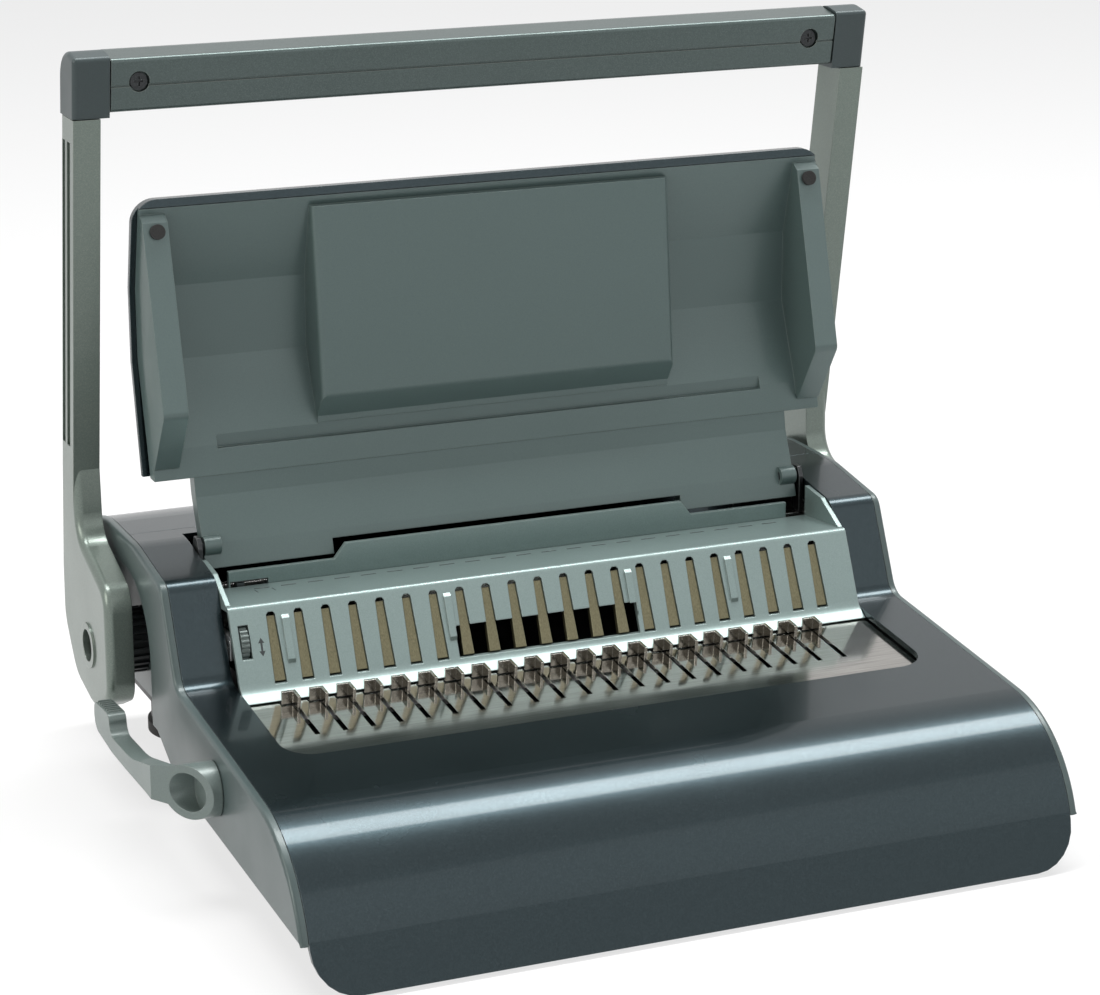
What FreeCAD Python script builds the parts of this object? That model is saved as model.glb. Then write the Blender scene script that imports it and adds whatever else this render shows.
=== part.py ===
import FreeCAD, Part
import math
import os
import re
import Sketcher
from FreeCAD import Placement, Rotation, Vector

# Comb binding machine with a U handle, drawn in millimetres.
# X runs to the right, Y to the back, Z up; the table is Z = 0 and X = 0 is the middle of the casing.

SIZES = (
    ("comb_pitch", 14.2875, "spacing of the comb fingers, 9/16 inch"),
    ("comb_margin", 22, "comb panel width kept free of strips"),
    ("tine_count", "=floor((2 * comb_half - comb_margin) / comb_pitch)", "strips of the comb plate"),
    ("hook_count", "=tine_count - 1", "hooks and punch pins"),
    ("seam_gap", 0.3, "gap between neighbouring covers"),
    ("slide_gap", 0.15, "gap on each side of a sliding fit"),
    ("turn_gap", 0.08, "radial gap of a turning fit"),
    ("seat_gap", 0.05, "gap of a pressed or bolted seat"),
    ("overcut", 1, "length of a cut past the face it leaves"),
    # feet and floor pan
    ("foot_height", 6, "height of the rubber feet"),
    ("front_foot_radius", 14, "front rubber foot"),
    ("front_leg_radius", 12, "front leg of the floor pan"),
    ("front_leg_inset", 33, "front leg inside the pan's edge"),
    ("front_leg_x", "=pan_half - front_leg_inset", "front leg, sideways"),
    ("front_leg_set", 18, "front leg behind the pan's front edge"),
    ("front_leg_y", "=pan_front + front_leg_set", "front leg, fore and aft"),
    ("rear_foot_radius", 27, "rear rubber foot"),
    ("rear_leg_radius", 25, "rear leg of the floor pan"),
    ("rear_leg_inset", 42, "rear leg inside the pan's edge"),
    ("rear_leg_x", "=pan_half - rear_leg_inset", "rear leg, sideways"),
    ("rear_leg_set", 2, "rear leg ahead of the pan\'s rear edge"),
    ("rear_leg_y", "=pan_rear - rear_leg_radius - rear_leg_set", "rear leg, fore and aft"),
    ("pan_inset", 13.45, "floor pan inside the casing's end"),
    ("pan_half", "=case_width / 2 - pan_inset", "half width of the floor pan"),
    ("pan_front_set", 25.4, "floor pan behind the casing's front edge"),
    ("pan_front", "=pan_front_set - front_reach", "front edge of the floor pan"),
    ("pan_rear_gap", 1, "floor pan ahead of the hood's wall"),
    ("pan_rear", "=rear_reach - case_wall - pan_rear_gap", "rear edge of the floor pan"),
    ("pan_floor", 40, "underside of the floor pan"),
    ("pan_wall", 3, "thickness of the floor pan"),
    ("pan_corner", 14, "corner radius of the floor pan"),
    # painted casing
    ("case_width", 392.9, "width of casing and hood"),
    ("case_wall", 3, "casing wall"),
    ("front_reach", 195.4, "front edge of the casing"),
    ("skirt_gap", 2, "casing above the table"),
    ("nose_set", 22.5, "nose corner behind the front edge"),
    ("nose_y", "=nose_set - front_reach", "nose corner"),
    ("nose_z", 68.9, "nose corner, height"),
    ("nose_radius", 67, "rounding of the nose"),
    ("bend_y", -0.9, "foot of the pillars"),
    ("bend_z", 84.8, "foot of the pillars, height"),
    ("bend_radius", 12, "rounding at the foot of the pillars"),
    ("brow_y", 21.2, "top front of the pillars"),
    ("brow_z", 131.9, "top front of the pillars, height"),
    ("brow_radius", 10, "rounding at the top of the pillars"),
    ("crown_y", 70, "start of the level top"),
    ("crown_z", 139, "level top"),
    ("crown_radius", 60, "rounding into the level top"),
    ("seam_y", 88, "seam of casing and hood"),
    ("skirt_corner", 22, "lower front corners"),
    ("pillar_wide", 24.95, "width of a pillar"),
    ("opening_half", "=case_width / 2 - pillar_wide", "half width of the top opening"),
    ("opening_front", -88.5, "front of the top opening"),
    ("opening_rear", 79, "rear of the top opening"),
    ("opening_corner", 16, "front corners of the opening"),
    ("rear_reach", 198, "rear wall of the hood"),
    ("hood_radius", 86, "curve of the hood"),
    ("hood_foot", 41, "lower edge of the hood"),
    # side panels
    ("panel_wall", 4, "side panel thickness"),
    ("panel_edge", 2, "softened outer edge of a side panel"),
    ("panel_front_z", 26, "front lower corner of a side panel"),
    ("arch_low_y", 2, "rear end of the low skirt"),
    ("arch_low_z", 35, "low skirt height"),
    ("arch_y", 35, "start of the raised skirt"),
    ("arch_z", 51, "raised skirt height"),
    ("recess_front", 42, "front of the hub recess"),
    ("recess_rear", 156, "rear of the hub recess"),
    ("recess_top", 124, "top of the hub recess"),
    ("recess_corner", 40, "upper corners of the hub recess"),
    ("recess_deep", 11.75, "depth of the hub recess"),
    ("recess_floor", "=case_width / 2 + seam_gap + panel_wall - recess_deep", "floor of the hub recess, sideways"),
    ("recess_wall", 3, "wall of the hub recess"),
    # comb panel
    ("comb_half", "=opening_half - seam_gap", "half width of the comb panel"),
    ("comb_wall", 2.5, "comb panel wall"),
    ("toe_y", -21, "lower front edge of the comb panel"),
    ("toe_z", 79.6, "lower front edge of the comb panel, height"),
    ("knee_z", 84.5, "foot of the leaning face"),
    ("knee_radius", 9, "rounding at the foot of the leaning face"),
    ("lip_y", 4.5, "top edge of the leaning face"),
    ("lip_z", 122, "top edge of the leaning face, height"),
    ("lip_radius", 3.2, "rounding of the top edge"),
    ("face_lean", 25.2, "lean of the face, degrees"),
    ("ledge_y", 46.4, "rear edge of the ledge"),
    ("ledge_z", 118, "rear edge of the ledge, height"),
    ("tine_slot_low", 85.6, "lower end of the strip slots"),
    ("tine_slot_high", 118, "upper end of the strip slots"),
    ("tine_slot_top", 4.6, "slot width at the top"),
    ("tine_slot_foot", 6.4, "slot width at the foot"),
    ("tine_fit", 0.3, "gap beside each strip"),
    ("tine_depth", 0.9, "strip face behind the panel face"),
    ("tine_thick", 3.3, "strip thickness"),
    ("tine_bar", 9, "height of the bar joining the strips"),
    ("tine_bar_drop", 1, "bar below the rolled tops of the strips"),
    ("window_left", -55.5, "left end of the chip window"),
    ("window_right", 44.4, "right end of the chip window"),
    ("window_low", 85.6, "lower edge of the chip window"),
    ("window_high", 100.5, "upper edge of the chip window"),
    ("rib_width", 4, "raised rib width"),
    ("rib_rise", 1.2, "raised rib height"),
    ("rib_low", 31, "lower end of a rib below the lip"),
    ("rib_high", 6.5, "upper end of a rib below the lip"),
    ("rib_step", 7.14375, "rib place between two strips"),
    ("rib_taper", 2, "slope at the ends of a rib"),
    ("rib_far_left_step", 0, "strips left of the first rib"),
    ("rib_left_step", 6, "strips left of the second rib"),
    ("rib_right_step", 13, "strips left of the third rib"),
    ("rib_far_right_step", 17, "strips left of the fourth rib"),
    ("cheek_wall", 2.5, "end cheek thickness"),
    ("cheek_mid_y", 28, "end cheek, middle"),
    ("cheek_mid_z", 132.5, "end cheek, middle height"),
    ("cheek_top_z", 134.5, "end cheek, rear height"),
    ("dash_length", 8.4, "marks on the ledge, length"),
    ("dash_width", 1.7, "marks on the ledge, width"),
    ("dash_depth", 0.6, "marks on the ledge, depth"),
    ("dash_y", 37.7, "marks on the ledge, place"),
    # paper slot and punch block
    ("die_y", 43.2, "front of the die"),
    ("die_thick", 6, "die and guide thickness"),
    ("die_low", 88, "underside of die and guide"),
    ("die_high", 114, "top of the die"),
    ("die_half", "=frame_x - seam_gap", "half length of die and guide"),
    ("throat", 3.2, "paper slot"),
    ("guide_high", 118, "top of the punch guide"),
    ("stop_rise", 5, "height of the paper stop"),
    ("rail_spare", 0.2375, "rail past the outer strips"),
    ("rail_half", "=tine_count * comb_pitch / 2 + rail_spare", "half length of the paper rail"),
    ("rail_thick", 2.6, "paper rail thickness"),
    ("rail_high", 126.2, "paper rail, ends"),
    ("rail_mid", 134, "paper rail, middle"),
    ("rail_mid_half", 94.6, "half length of the raised middle"),
    ("rail_ramp", 6, "ramp of the raised middle"),
    ("punch_z", 99, "height of the punches"),
    ("pin_wide", 8, "punch pin width"),
    ("pin_tall", 3.2, "punch pin height"),
    ("pin_tip_y", 53, "punch pin tip at rest"),
    ("bar_y", 74.6, "front of the punch bar at rest"),
    ("bar_deep", 15, "punch bar depth"),
    ("bar_low", 91.5, "underside of the punch bar"),
    ("bar_high", 106, "top of the punch bar"),
    ("bar_inset", 8, "punch bar inside a side frame"),
    ("bar_half", "=frame_x - bar_inset", "half length of the punch bar"),
    # handle drive
    ("drive_y", 98.4, "handle axis"),
    ("drive_z", 79, "handle axis, height"),
    ("drive_radius", 6.5, "drive shaft"),
    ("drive_module", 1.25, "tooth size of the punch drive"),
    ("drive_teeth", 16, "teeth of the punch pinions"),
    ("drive_rack_teeth", 8, "teeth of each punch rack"),
    ("drive_wheel_inset", 11, "punch pinions inside the bar's end"),
    ("drive_wheel_x", "=bar_half - drive_wheel_inset", "inner face of the punch pinions"),
    ("drive_wheel_wide", 10, "width of the punch pinions"),
    ("mesh_play", 0.3, "play between teeth"),
    ("flank_angle", 20, "pressure angle of the teeth"),
    ("root_share", 1.2, "tooth root depth, in modules"),
    ("rack_root_share", 1.1, "rack root depth, in modules"),
    ("rack_lead", 1.5, "rack teeth ahead of the pinion, in pitches"),
    ("drive_strip", 5, "height of the punch rack strip"),
    ("tip_share", 0.8, "rack tooth height, share of the module"),
    ("bush_wall", 3.4, "bush wall"),
    ("bush_flange", 13, "bush flange radius"),
    ("bush_lip", 3, "bush flange thickness"),
    ("bush_tail", 1, "bush end outside the frame"),
    ("hub_radius", 15.8, "hub behind each arm"),
    ("hub_rib", 1.4, "rib on the hub"),
    ("hub_ribs", 24, "ribs on each hub"),
    # side frames
    ("frame_inset", 22.45, "side frame inside the casing's end"),
    ("frame_x", "=case_width / 2 - frame_inset", "inner face of a side frame"),
    ("frame_wall", 3, "side frame thickness"),
    ("frame_front", -84, "front of a side frame"),
    ("frame_front_z", 67, "front height of a side frame"),
    ("frame_step_y", 2, "step of a side frame"),
    ("frame_step_z", 74, "step of a side frame, height"),
    ("frame_neck_y", 17, "front of the upper frame"),
    ("frame_neck_z", 98, "front of the upper frame, height"),
    ("frame_top_y", 38, "top front of a side frame"),
    ("frame_top_z", 122, "top of a side frame"),
    ("frame_back_y", 92, "top rear of a side frame"),
    ("frame_rear", 115, "rear of a side frame"),
    ("frame_rear_z", 98, "rear height of a side frame"),
    # handle
    ("arm_gap", 7.35, "arm outside the casing's end"),
    ("arm_inner", "=case_width / 2 + arm_gap", "inner face of an arm"),
    ("arm_wide", 13.85, "width of an arm"),
    ("arm_outer", "=arm_inner + arm_wide", "outer face of an arm"),
    ("arm_top_z", 353.5, "top of an arm"),
    ("arm_top_front", 84.5, "front of an arm at the top"),
    ("arm_top_rear", 109, "rear of an arm at the top"),
    ("arm_neck_z", 168, "lower end of the slim arm"),
    ("arm_neck_front", 114.6, "front of the slim arm, low"),
    ("arm_neck_rear", 139.5, "rear of the slim arm, low"),
    ("arm_flare_y", 113, "start of the flare"),
    ("arm_flare_z", 134, "start of the flare, height"),
    ("arm_boss_front", 62, "front of the lower boss"),
    ("arm_boss_z", 117, "top front of the lower boss"),
    ("arm_boss_low", 60, "bottom front of the lower boss"),
    ("arm_keel_y", 94, "lowest point of an arm"),
    ("arm_keel_z", 45.5, "lowest point of an arm, height"),
    ("arm_heel_y", 128, "heel of an arm"),
    ("arm_heel_z", 53, "heel of an arm, height"),
    ("arm_rear_y", 148.5, "rear of the lower boss"),
    ("arm_rear_low", 80, "rear of the boss, low"),
    ("arm_rear_high", 110, "rear of the boss, high"),
    ("arm_rear_lean", 1, "lean of the boss's rear edge"),
    ("arm_flare_radius", 16, "inner curve of the flare"),
    ("arm_boss_radius", 14, "front corner of the boss"),
    ("arm_heel_radius", 24, "lower corners of the boss"),
    ("arm_edge", 4.2, "softened edge of an arm"),
    ("flute_wide", 6, "groove along an arm"),
    ("flute_deep", 1.6, "groove along an arm, depth"),
    ("flute_end", 12, "groove end from arm top and neck"),
    ("flute_front_share", 0.36, "front groove, as a share of the arm's depth"),
    ("flute_rear_share", 0.74, "rear groove, as a share of the arm's depth"),
    ("rim_radius", 12, "raised rim at the pivot"),
    ("rim_rise", 0.9, "rise of the rim"),
    ("pivot_radius", 8.5, "screw recess at the pivot"),
    ("pivot_deep", 5.5, "screw recess depth"),
    ("pivot_head", 6.4, "pivot screw head radius"),
    ("pivot_head_tall", 3.4, "pivot screw head height"),
    ("pivot_shank", 3, "pivot screw shank radius"),
    ("pivot_reach", 12, "pivot screw inside the shaft"),
    ("shank_gap", 0.5, "room past the end of a pivot screw"),
    ("grip_inset", 5.45, "crossbar short of the arm's inner face"),
    ("grip_half", "=arm_inner - grip_inset", "half length of the crossbar"),
    ("grip_low_y", 85.6, "crossbar front, low"),
    ("grip_low_z", 355.8, "crossbar front, low height"),
    ("grip_high_y", 80.6, "crossbar front, high"),
    ("grip_high_z", 382.8, "crossbar front, high height"),
    ("grip_deep", 23, "crossbar depth"),
    ("grip_rise", 4.3, "rise of the crossbar over its depth"),
    ("grip_edge", 2.2, "crossbar front edges"),
    ("grip_back", 8, "crossbar rear edges"),
    ("grip_line", 0.9, "line along the crossbar"),
    ("grip_hole_inset", 14.35, "screw inside the crossbar's end"),
    ("grip_hole_x", "=grip_half - grip_hole_inset", "crossbar screws, sideways"),
    ("grip_hole_z", 371.1, "crossbar screws, height"),
    ("grip_hole_radius", 5.2, "crossbar screw recess"),
    ("grip_hole_deep", 4, "crossbar screw recess depth"),
    ("grip_screw_radius", 4.4, "crossbar screw head"),
    ("grip_screw_tall", 2.6, "crossbar screw head height"),
    ("cross_wide", 1.1, "cross slot width"),
    ("cross_long", 4.8, "cross slot length"),
    ("cross_deep", 1.2, "cross slot depth"),
    ("cap_gap", 0.7, "seam between crossbar and end cap"),
    ("cap_low_z", 353.8, "end cap, lower edge"),
    ("cap_low_front", 85.1, "end cap, lower front"),
    ("cap_low_rear", 111, "end cap, lower rear"),
    ("cap_high_z", 384.3, "end cap, upper front"),
    ("cap_high_front", 80.2, "end cap, upper front place"),
    ("cap_rear_y", 105.8, "end cap, upper rear"),
    ("cap_rear_z", 389, "end cap, upper rear height"),
    ("cap_radius", 16, "end cap, rear corner"),
    ("cap_edge", 2.4, "end cap, softened edges"),
    # lid
    ("hinge_y", 58, "lid hinge"),
    ("hinge_z", 138, "lid hinge, height"),
    ("hinge_pin", 2.5, "hinge pin radius"),
    ("hinge_knuckle", 5, "hinge knuckle radius"),
    ("knuckle_long", 10.3, "length of a knuckle"),
    ("knuckle_x", "=bracket_x - knuckle_long", "inner end of a knuckle"),
    ("bracket_inset", 5.5, "hinge bracket inside a side frame"),
    ("bracket_x", "=frame_x - bracket_inset", "inner face of a hinge bracket"),
    ("bracket_wall", 2.3, "hinge bracket thickness"),
    ("tongue_gap", 1.5, "lid tongue inside a bracket"),
    ("tongue_half", "=bracket_x - tongue_gap", "half width of the lid tongue"),
    ("tongue_tip_y", 53.3, "lower edge of the tongue"),
    ("tongue_tip_z", 127, "lower edge of the tongue, height"),
    ("tongue_mid_y", 57.7, "tongue at the hinge"),
    ("tongue_mid_z", 139, "tongue at the hinge, height"),
    ("tongue_high_y", 67.5, "tongue above the hinge"),
    ("tongue_high_z", 161, "tongue above the hinge, height"),
    ("tongue_thick", 8, "tongue thickness"),
    ("tongue_notch_half", 98.5, "half width of the tongue notch"),
    ("tongue_notch_z", 134.5, "top of the tongue notch"),
    ("groove_y", 72.5, "foot of the lid bays"),
    ("groove_z", 186, "foot of the lid bays, height"),
    ("groove_inset", 34.3, "groove inside the liner's edge"),
    ("groove_half", "=liner_half - groove_inset", "half length of the groove"),
    ("groove_tall", 7.5, "groove height"),
    ("groove_deep", 2, "groove depth"),
    ("wing_z", 171, "lower edge of the wide lid"),
    ("wing_y", 69, "lower edge of the wide lid, place"),
    ("bay_low_y", 90, "bay floor, low"),
    ("bay_low_z", 228, "bay floor, low height"),
    ("bay_high_y", 90, "bay floor, high"),
    ("bay_high_z", 266, "bay floor, high height"),
    ("lid_top_y", 79.5, "lid rim"),
    ("lid_top_z", 308.3, "lid rim, height"),
    ("liner_wall", 2.6, "liner wall"),
    ("liner_inset", 2.9, "liner inside the shell's edge"),
    ("liner_half", "=shell_half - liner_inset", "half width of the liner"),
    ("shell_inset", 5.95, "lid shell inside the casing's end"),
    ("shell_half", "=case_width / 2 - shell_inset", "half width of the lid shell"),
    ("shell_wall", 3, "lid shell wall"),
    ("shell_lip", 1, "lid shell lip over the liner"),
    ("shell_top_z", 312.6, "top of the lid shell"),
    ("shell_foot_y", 80.5, "lower edge of the lid shell"),
    ("shell_corner", 12, "upper corners of the lid"),
    ("block_half", 99, "half width of the lid block"),
    ("block_top_y", 76.7, "lid block, top"),
    ("block_top_z", 303.4, "lid block, top height"),
    ("block_low_y", 66.2, "lid block, lower edge"),
    ("block_low_z", 207, "lid block, lower edge height"),
    ("block_foot_y", 73.8, "lid block, foot"),
    ("block_foot_z", 194.8, "lid block, foot height"),
    ("block_edge", 3, "softened edges of the lid block"),
    ("pod_inner", 174.5, "inner face of a lid pod"),
    ("pod_top_y", 75, "lid pod, top"),
    ("pod_top_z", 302, "lid pod, top height"),
    ("pod_corner_y", 48.6, "lid pod, lower corner"),
    ("pod_corner_z", 209, "lid pod, lower corner height"),
    ("pod_tip_y", 69, "lid pod, foot"),
    ("pod_tip_z", 177, "lid pod, foot height"),
    ("pod_edge", 5, "softened corner of a lid pod"),
    ("bumper_inset", 7.1, "bumper inside the liner's edge"),
    ("bumper_x", "=liner_half - bumper_inset", "bumper, sideways"),
    ("bumper_z", 297.5, "bumper, height"),
    ("bumper_radius", 3.8, "bumper radius"),
    ("bumper_rise", 2.2, "bumper height"),
    # deck and hooks, measured along and square to the sloping deck
    ("deck_drop", 4, "deck plate below the casing deck"),
    ("deck_wall", 1.5, "deck plate thickness"),
    ("deck_lap", 1.9, "deck plate under the opening's edge"),
    ("deck_half", "=opening_half + deck_lap", "half width of the deck plate"),
    ("deck_front", -95, "front of the deck plate"),
    ("deck_rear", -9, "rear of the deck plate"),
    ("track_front", -60, "front end of a hook slot"),
    ("track_rear", -15.5, "rear end of a hook slot"),
    ("track_wide", 2.6, "hook slot width"),
    ("key_left", 5.4, "key opening beside a slot"),
    ("key_long", 9, "key opening length"),
    ("hook_shift", 2.4, "hook blade beside the strip"),
    ("hook_thick", 1.5, "hook sheet thickness"),
    ("hook_tab", 7.2, "hook tab width"),
    ("hook_tall", 3.2, "hook tab above the casing deck"),
    ("hook_low", 0.6, "hook tab above the deck plate"),
    ("hook_face", -23, "rear face of the hook tabs"),
    ("hook_long", 9, "hook blade length"),
    ("plate_front", -38, "front of the hook plate"),
    ("plate_rear", -16, "rear of the hook plate"),
    ("plate_gap", 0.8, "hook plate below the deck plate"),
    ("plate_wall", 2.8, "hook plate thickness"),
    ("plate_inset", 7, "hook plate inside a side frame"),
    ("plate_half", "=frame_x - plate_inset", "half length of the hook plate"),
    # comb lever
    ("lever_y", -64, "lever axis"),
    ("lever_z", 57, "lever axis, height"),
    ("lever_radius", 5.5, "lever shaft"),
    ("lever_module", 1.5, "tooth size of the hook drive"),
    ("lever_teeth", 16, "teeth of the hook pinions"),
    ("lever_rack_teeth", 10, "teeth of each hook rack"),
    ("strip_lead", 2.2, "hook rack strip ahead of the pinion, in pitches"),
    ("strip_trim", 1.8, "hook rack strip short of its teeth, in pitches"),
    ("lever_wheel_wide", 10, "width of the hook pinions"),
    ("hub_lever_radius", 13.5, "lever hub"),
    ("lever_gap", 30.55, "lever arm outside the casing's end"),
    ("lever_end", "=case_width / 2 + lever_gap", "outer face of the lever arm"),
    ("lever_wide", 9, "width of the lever arm"),
    ("lever_side", "=lever_end - lever_wide", "inner face of the lever arm"),
    ("lever_face_set", 12.5, "oblique hub face inside the arm"),
    ("lever_face", "=lever_end - lever_face_set", "middle of the oblique hub face"),
    ("lever_join", 50, "where the underside meets the hub, degrees"),
    ("lever_slant", 33, "slant of the hub face, degrees"),
    ("lever_bowl", 9.6, "recess in the hub face"),
    ("bowl_set", 19, "recess floor inside the arm"),
    ("lever_bowl_x", "=lever_end - bowl_set", "floor of the recess"),
    ("socket_set", 21, "end of the shaft inside the arm"),
    ("lever_socket", "=lever_end - socket_set", "end of the shaft in the hub"),
    ("lever_past", 4, "lever shaft past the right frame"),
    ("lever_reach", "=frame_x + lever_past", "right end of the lever shaft"),
    ("thumb_top_y", 29, "thumb pad, front"),
    ("thumb_top_z", 66, "thumb pad, front height"),
    ("thumb_rear_y", 55.7, "thumb pad, rear"),
    ("thumb_rear_z", 64.2, "thumb pad, rear height"),
    ("thumb_heel_y", 57.8, "thumb pad, heel"),
    ("thumb_heel_z", 50.4, "thumb pad, heel height"),
    ("lever_sole_y", 25, "lever underside, rear"),
    ("lever_sole_z", 47.5, "lever underside, rear height"),
    ("lever_dip_y", 0, "lever underside, middle"),
    ("lever_dip_z", 47.6, "lever underside, middle height"),
    ("lever_bow_y", -34, "lever underside, front"),
    ("lever_bow_z", 48.5, "lever underside, front height"),
    ("lever_back_y", -11, "lever top, middle"),
    ("lever_back_z", 56.8, "lever top, middle height"),
    ("lever_rise_y", 27, "lever top, foot of the pad"),
    ("lever_rise_z", 55.5, "lever top, foot of the pad, height"),
    ("lever_back_round", 81, "curve of the lever's back"),
    ("lever_rise_round", 6.75, "curve at the foot of the pad"),
    ("thumb_top_round", 4, "front edge of the pad"),
    ("thumb_rear_round", 4, "rear edge of the pad"),
    ("thumb_heel_round", 8, "heel of the pad"),
    ("thumb_ribs", 7, "ribs of the thumb pad"),
    ("thumb_rib_rise", 0.9, "thumb rib height"),
    ("thumb_rib_wide", 1.6, "thumb rib width"),
    ("thumb_rib_pitch", 3.3, "thumb rib spacing"),
    # edge guide
    ("wheel_set", 6.2, "thumbwheel inside the panel's end"),
    ("wheel_x", "=wheel_set - comb_half", "thumbwheel, sideways"),
    ("wheel_wide", 4, "thumbwheel width"),
    ("wheel_radius", 10, "thumbwheel radius"),
    ("wheel_notch", 0.8, "thumbwheel grip notch"),
    ("wheel_notches", 24, "thumbwheel grip notches"),
    ("wheel_y", 5.2, "thumbwheel axis"),
    ("wheel_z", 102.8, "thumbwheel axis, height"),
    ("wheel_slot_low", 97.8, "thumbwheel opening, low"),
    ("wheel_slot_high", 113.4, "thumbwheel opening, high"),
    ("wheel_slot_side", 0.7, "thumbwheel opening, side gap"),
    ("spindle_radius", 2.5, "guide spindle"),
    ("spindle_set", 0.2, "spindle inside the panel's end"),
    ("spindle_left", "=spindle_set - comb_half", "left end of the spindle"),
    ("spindle_long", 38.8, "length of the spindle"),
    ("spindle_right", "=spindle_left + spindle_long", "right end of the spindle"),
    ("ear_wall", 2.6, "spindle bracket ears"),
    ("ear_front", 2.4, "front of the bracket ears"),
    ("ear_rear", 18, "rear of the bracket ears"),
    ("ear_low", 95, "underside of the bracket"),
    ("ear_high", 107, "top of the bracket ears"),
    ("web_wall", 2, "bracket web"),
    ("web_high", 99, "top of the bracket web"),
    ("nut_set", 13, "nut along the spindle"),
    ("nut_left", "=spindle_left + nut_set", "left end of the guide nut"),
    ("nut_long", 9, "guide nut length"),
    ("nut_front", 2.6, "front of the guide nut"),
    ("nut_rear", 8.4, "rear of the guide nut"),
    ("nut_low", 99.6, "underside of the guide nut"),
    ("nut_high", 107.6, "top of the guide nut"),
    ("finger_step", 2, "step from the nut to the finger"),
    ("finger_set", 5, "finger along the nut"),
    ("finger_left", "=nut_left + finger_set", "guide finger, left side"),
    ("finger_wide", 4, "guide finger width"),
    ("finger_low", 109.4, "guide arm, underside"),
    ("finger_high", 113, "guide arm, top"),
    ("finger_tip", 119.6, "guide finger, tip"),
    ("gate_set", 1.5, "guide slot past the nut's end"),
    ("gate_left", "=nut_left + gate_set", "guide slot, left end"),
    ("gate_long", 20, "length of the guide slot"),
    ("gate_right", "=gate_left + gate_long", "guide slot, right end"),
    ("gate_low", 108.8, "guide slot in the die"),
    ("gate_high", 120.8, "guide slot in the rail"),
    # chip tray
    ("tray_inset", 26, "chip tray inside a side frame"),
    ("tray_half", "=frame_x - tray_inset", "half width of the chip tray"),
    ("tray_front", 22, "front of the chip tray"),
    ("tray_proud", 0.5, "chip tray past the hood's wall"),
    ("tray_rear", "=rear_reach + tray_proud", "rear face of the chip tray"),
    ("tray_low", 43.3, "underside of the chip tray"),
    ("tray_high", 64, "top of the chip tray"),
    ("tray_wall", 2, "chip tray wall"),
    ("tray_pull_half", 35, "half width of the finger pull"),
    ("tray_pull_deep", 2.2, "depth of the finger pull"),
    ("runner_wide", 5, "tray runner width"),
    ("runner_tall", 9, "tray runner height"),
    ("runner_front", 24, "front of the tray runners"),
    ("runner_set", 14, "runner ahead of the hood's wall"),
    ("runner_rear", "=rear_reach - runner_set", "rear of the tray runners"),
    # screws under the floor pan
    ("sole_screw_radius", 4.2, "screw heads under the pan"),
    ("sole_screw_tall", 2.4, "screw head height under the pan"),
    ("sole_screw_front", -70, "front screws"),
    ("sole_screw_mid", 20, "middle screws"),
    ("sole_screw_rear", 105, "rear screws"),
)

TINY = 1e-3
FLANK_STEPS = 7
SKIRT_ANGLES = (15, 30, 45, 60, 75, 90)
ARCH_ANGLES = (0, 10, 20, 30, 40, 50, 60, 70, 80, 90)

doc = FreeCAD.newDocument("comb_binder")
sheet = doc.addObject("Spreadsheet::Sheet", "Sizes")
for row, (alias, number, note) in enumerate(SIZES, 1):
    sheet.set(f"A{row}", note)
    sheet.set(f"B{row}", str(number))
    sheet.setAlias(f"B{row}", alias)
doc.recompute()

known = {alias for alias, number, note in SIZES}
normal_sign = {"XY_Plane": 1, "XZ_Plane": -1, "YZ_Plane": 1}
pieces = []


def linked(formula):
    return re.sub(r"[a-z]\w*", lambda word: "Sizes." + word[0] if word[0] in known else word[0], formula)


def value(formula):
    return float(sheet.evalExpression(linked(formula)))


def bind(thing, prop, formula):
    thing.setExpression(prop, linked(formula))


def publish(thing, label):
    thing.Label = label
    pieces.append(thing)
    return thing


def new_body(name):
    return doc.addObject("PartDesign::Body", name)


def origin(body, role):
    return next(part for part in body.Origin.OriginFeatures if part.Role == role)


def new_sketch(body, name, role, at):
    sketch = body.newObject("Sketcher::SketchObject", name)
    sketch.AttachmentSupport = [(origin(body, role), "")]
    sketch.MapMode = "FlatFace"
    sign = "" if normal_sign[role] > 0 else "-1 * "
    bind(sketch, "AttachmentOffset.Base.z", f"{sign}({at})")
    return sketch


def pin_down(sketch, kind, geometry, vertex, formula):
    place = sketch.addConstraint(Sketcher.Constraint(kind, -1, 1, geometry, vertex, value(formula)))
    bind(sketch, f"Constraints[{place}]", formula)


def outline(body, name, role, corners, at="0"):
    sketch = new_sketch(body, name, role, at)
    points = [Vector(value(across), value(up), 0) for across, up in corners]
    count = len(points)
    for place in range(count):
        sketch.addGeometry(Part.LineSegment(points[place], points[(place + 1) % count]))
    for place in range(count):
        sketch.addConstraint(Sketcher.Constraint("Coincident", place, 2, (place + 1) % count, 1))
    for place, (across, up) in enumerate(corners):
        pin_down(sketch, "DistanceX", place, 1, across)
        pin_down(sketch, "DistanceY", place, 1, up)
    return sketch


def rectangle(body, name, role, low, high, at="0"):
    corners = [low, (high[0], low[1]), high, (low[0], high[1])]
    return outline(body, name, role, corners, at)


def arched(low, high, radius):
    """Corners of a doorway shape: square at the foot, rounded at the top."""
    rise = [(f"{high[0]} - {radius} * (1 - cos({angle}))", f"{high[1]} - {radius} * (1 - sin({angle}))")
            for angle in ARCH_ANGLES]
    fall = [(f"{low[0]} + {radius} * (1 - cos({angle}))", f"{high[1]} - {radius} * (1 - sin({angle}))")
            for angle in reversed(ARCH_ANGLES)]
    return [low, (high[0], low[1])] + rise + fall


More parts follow.
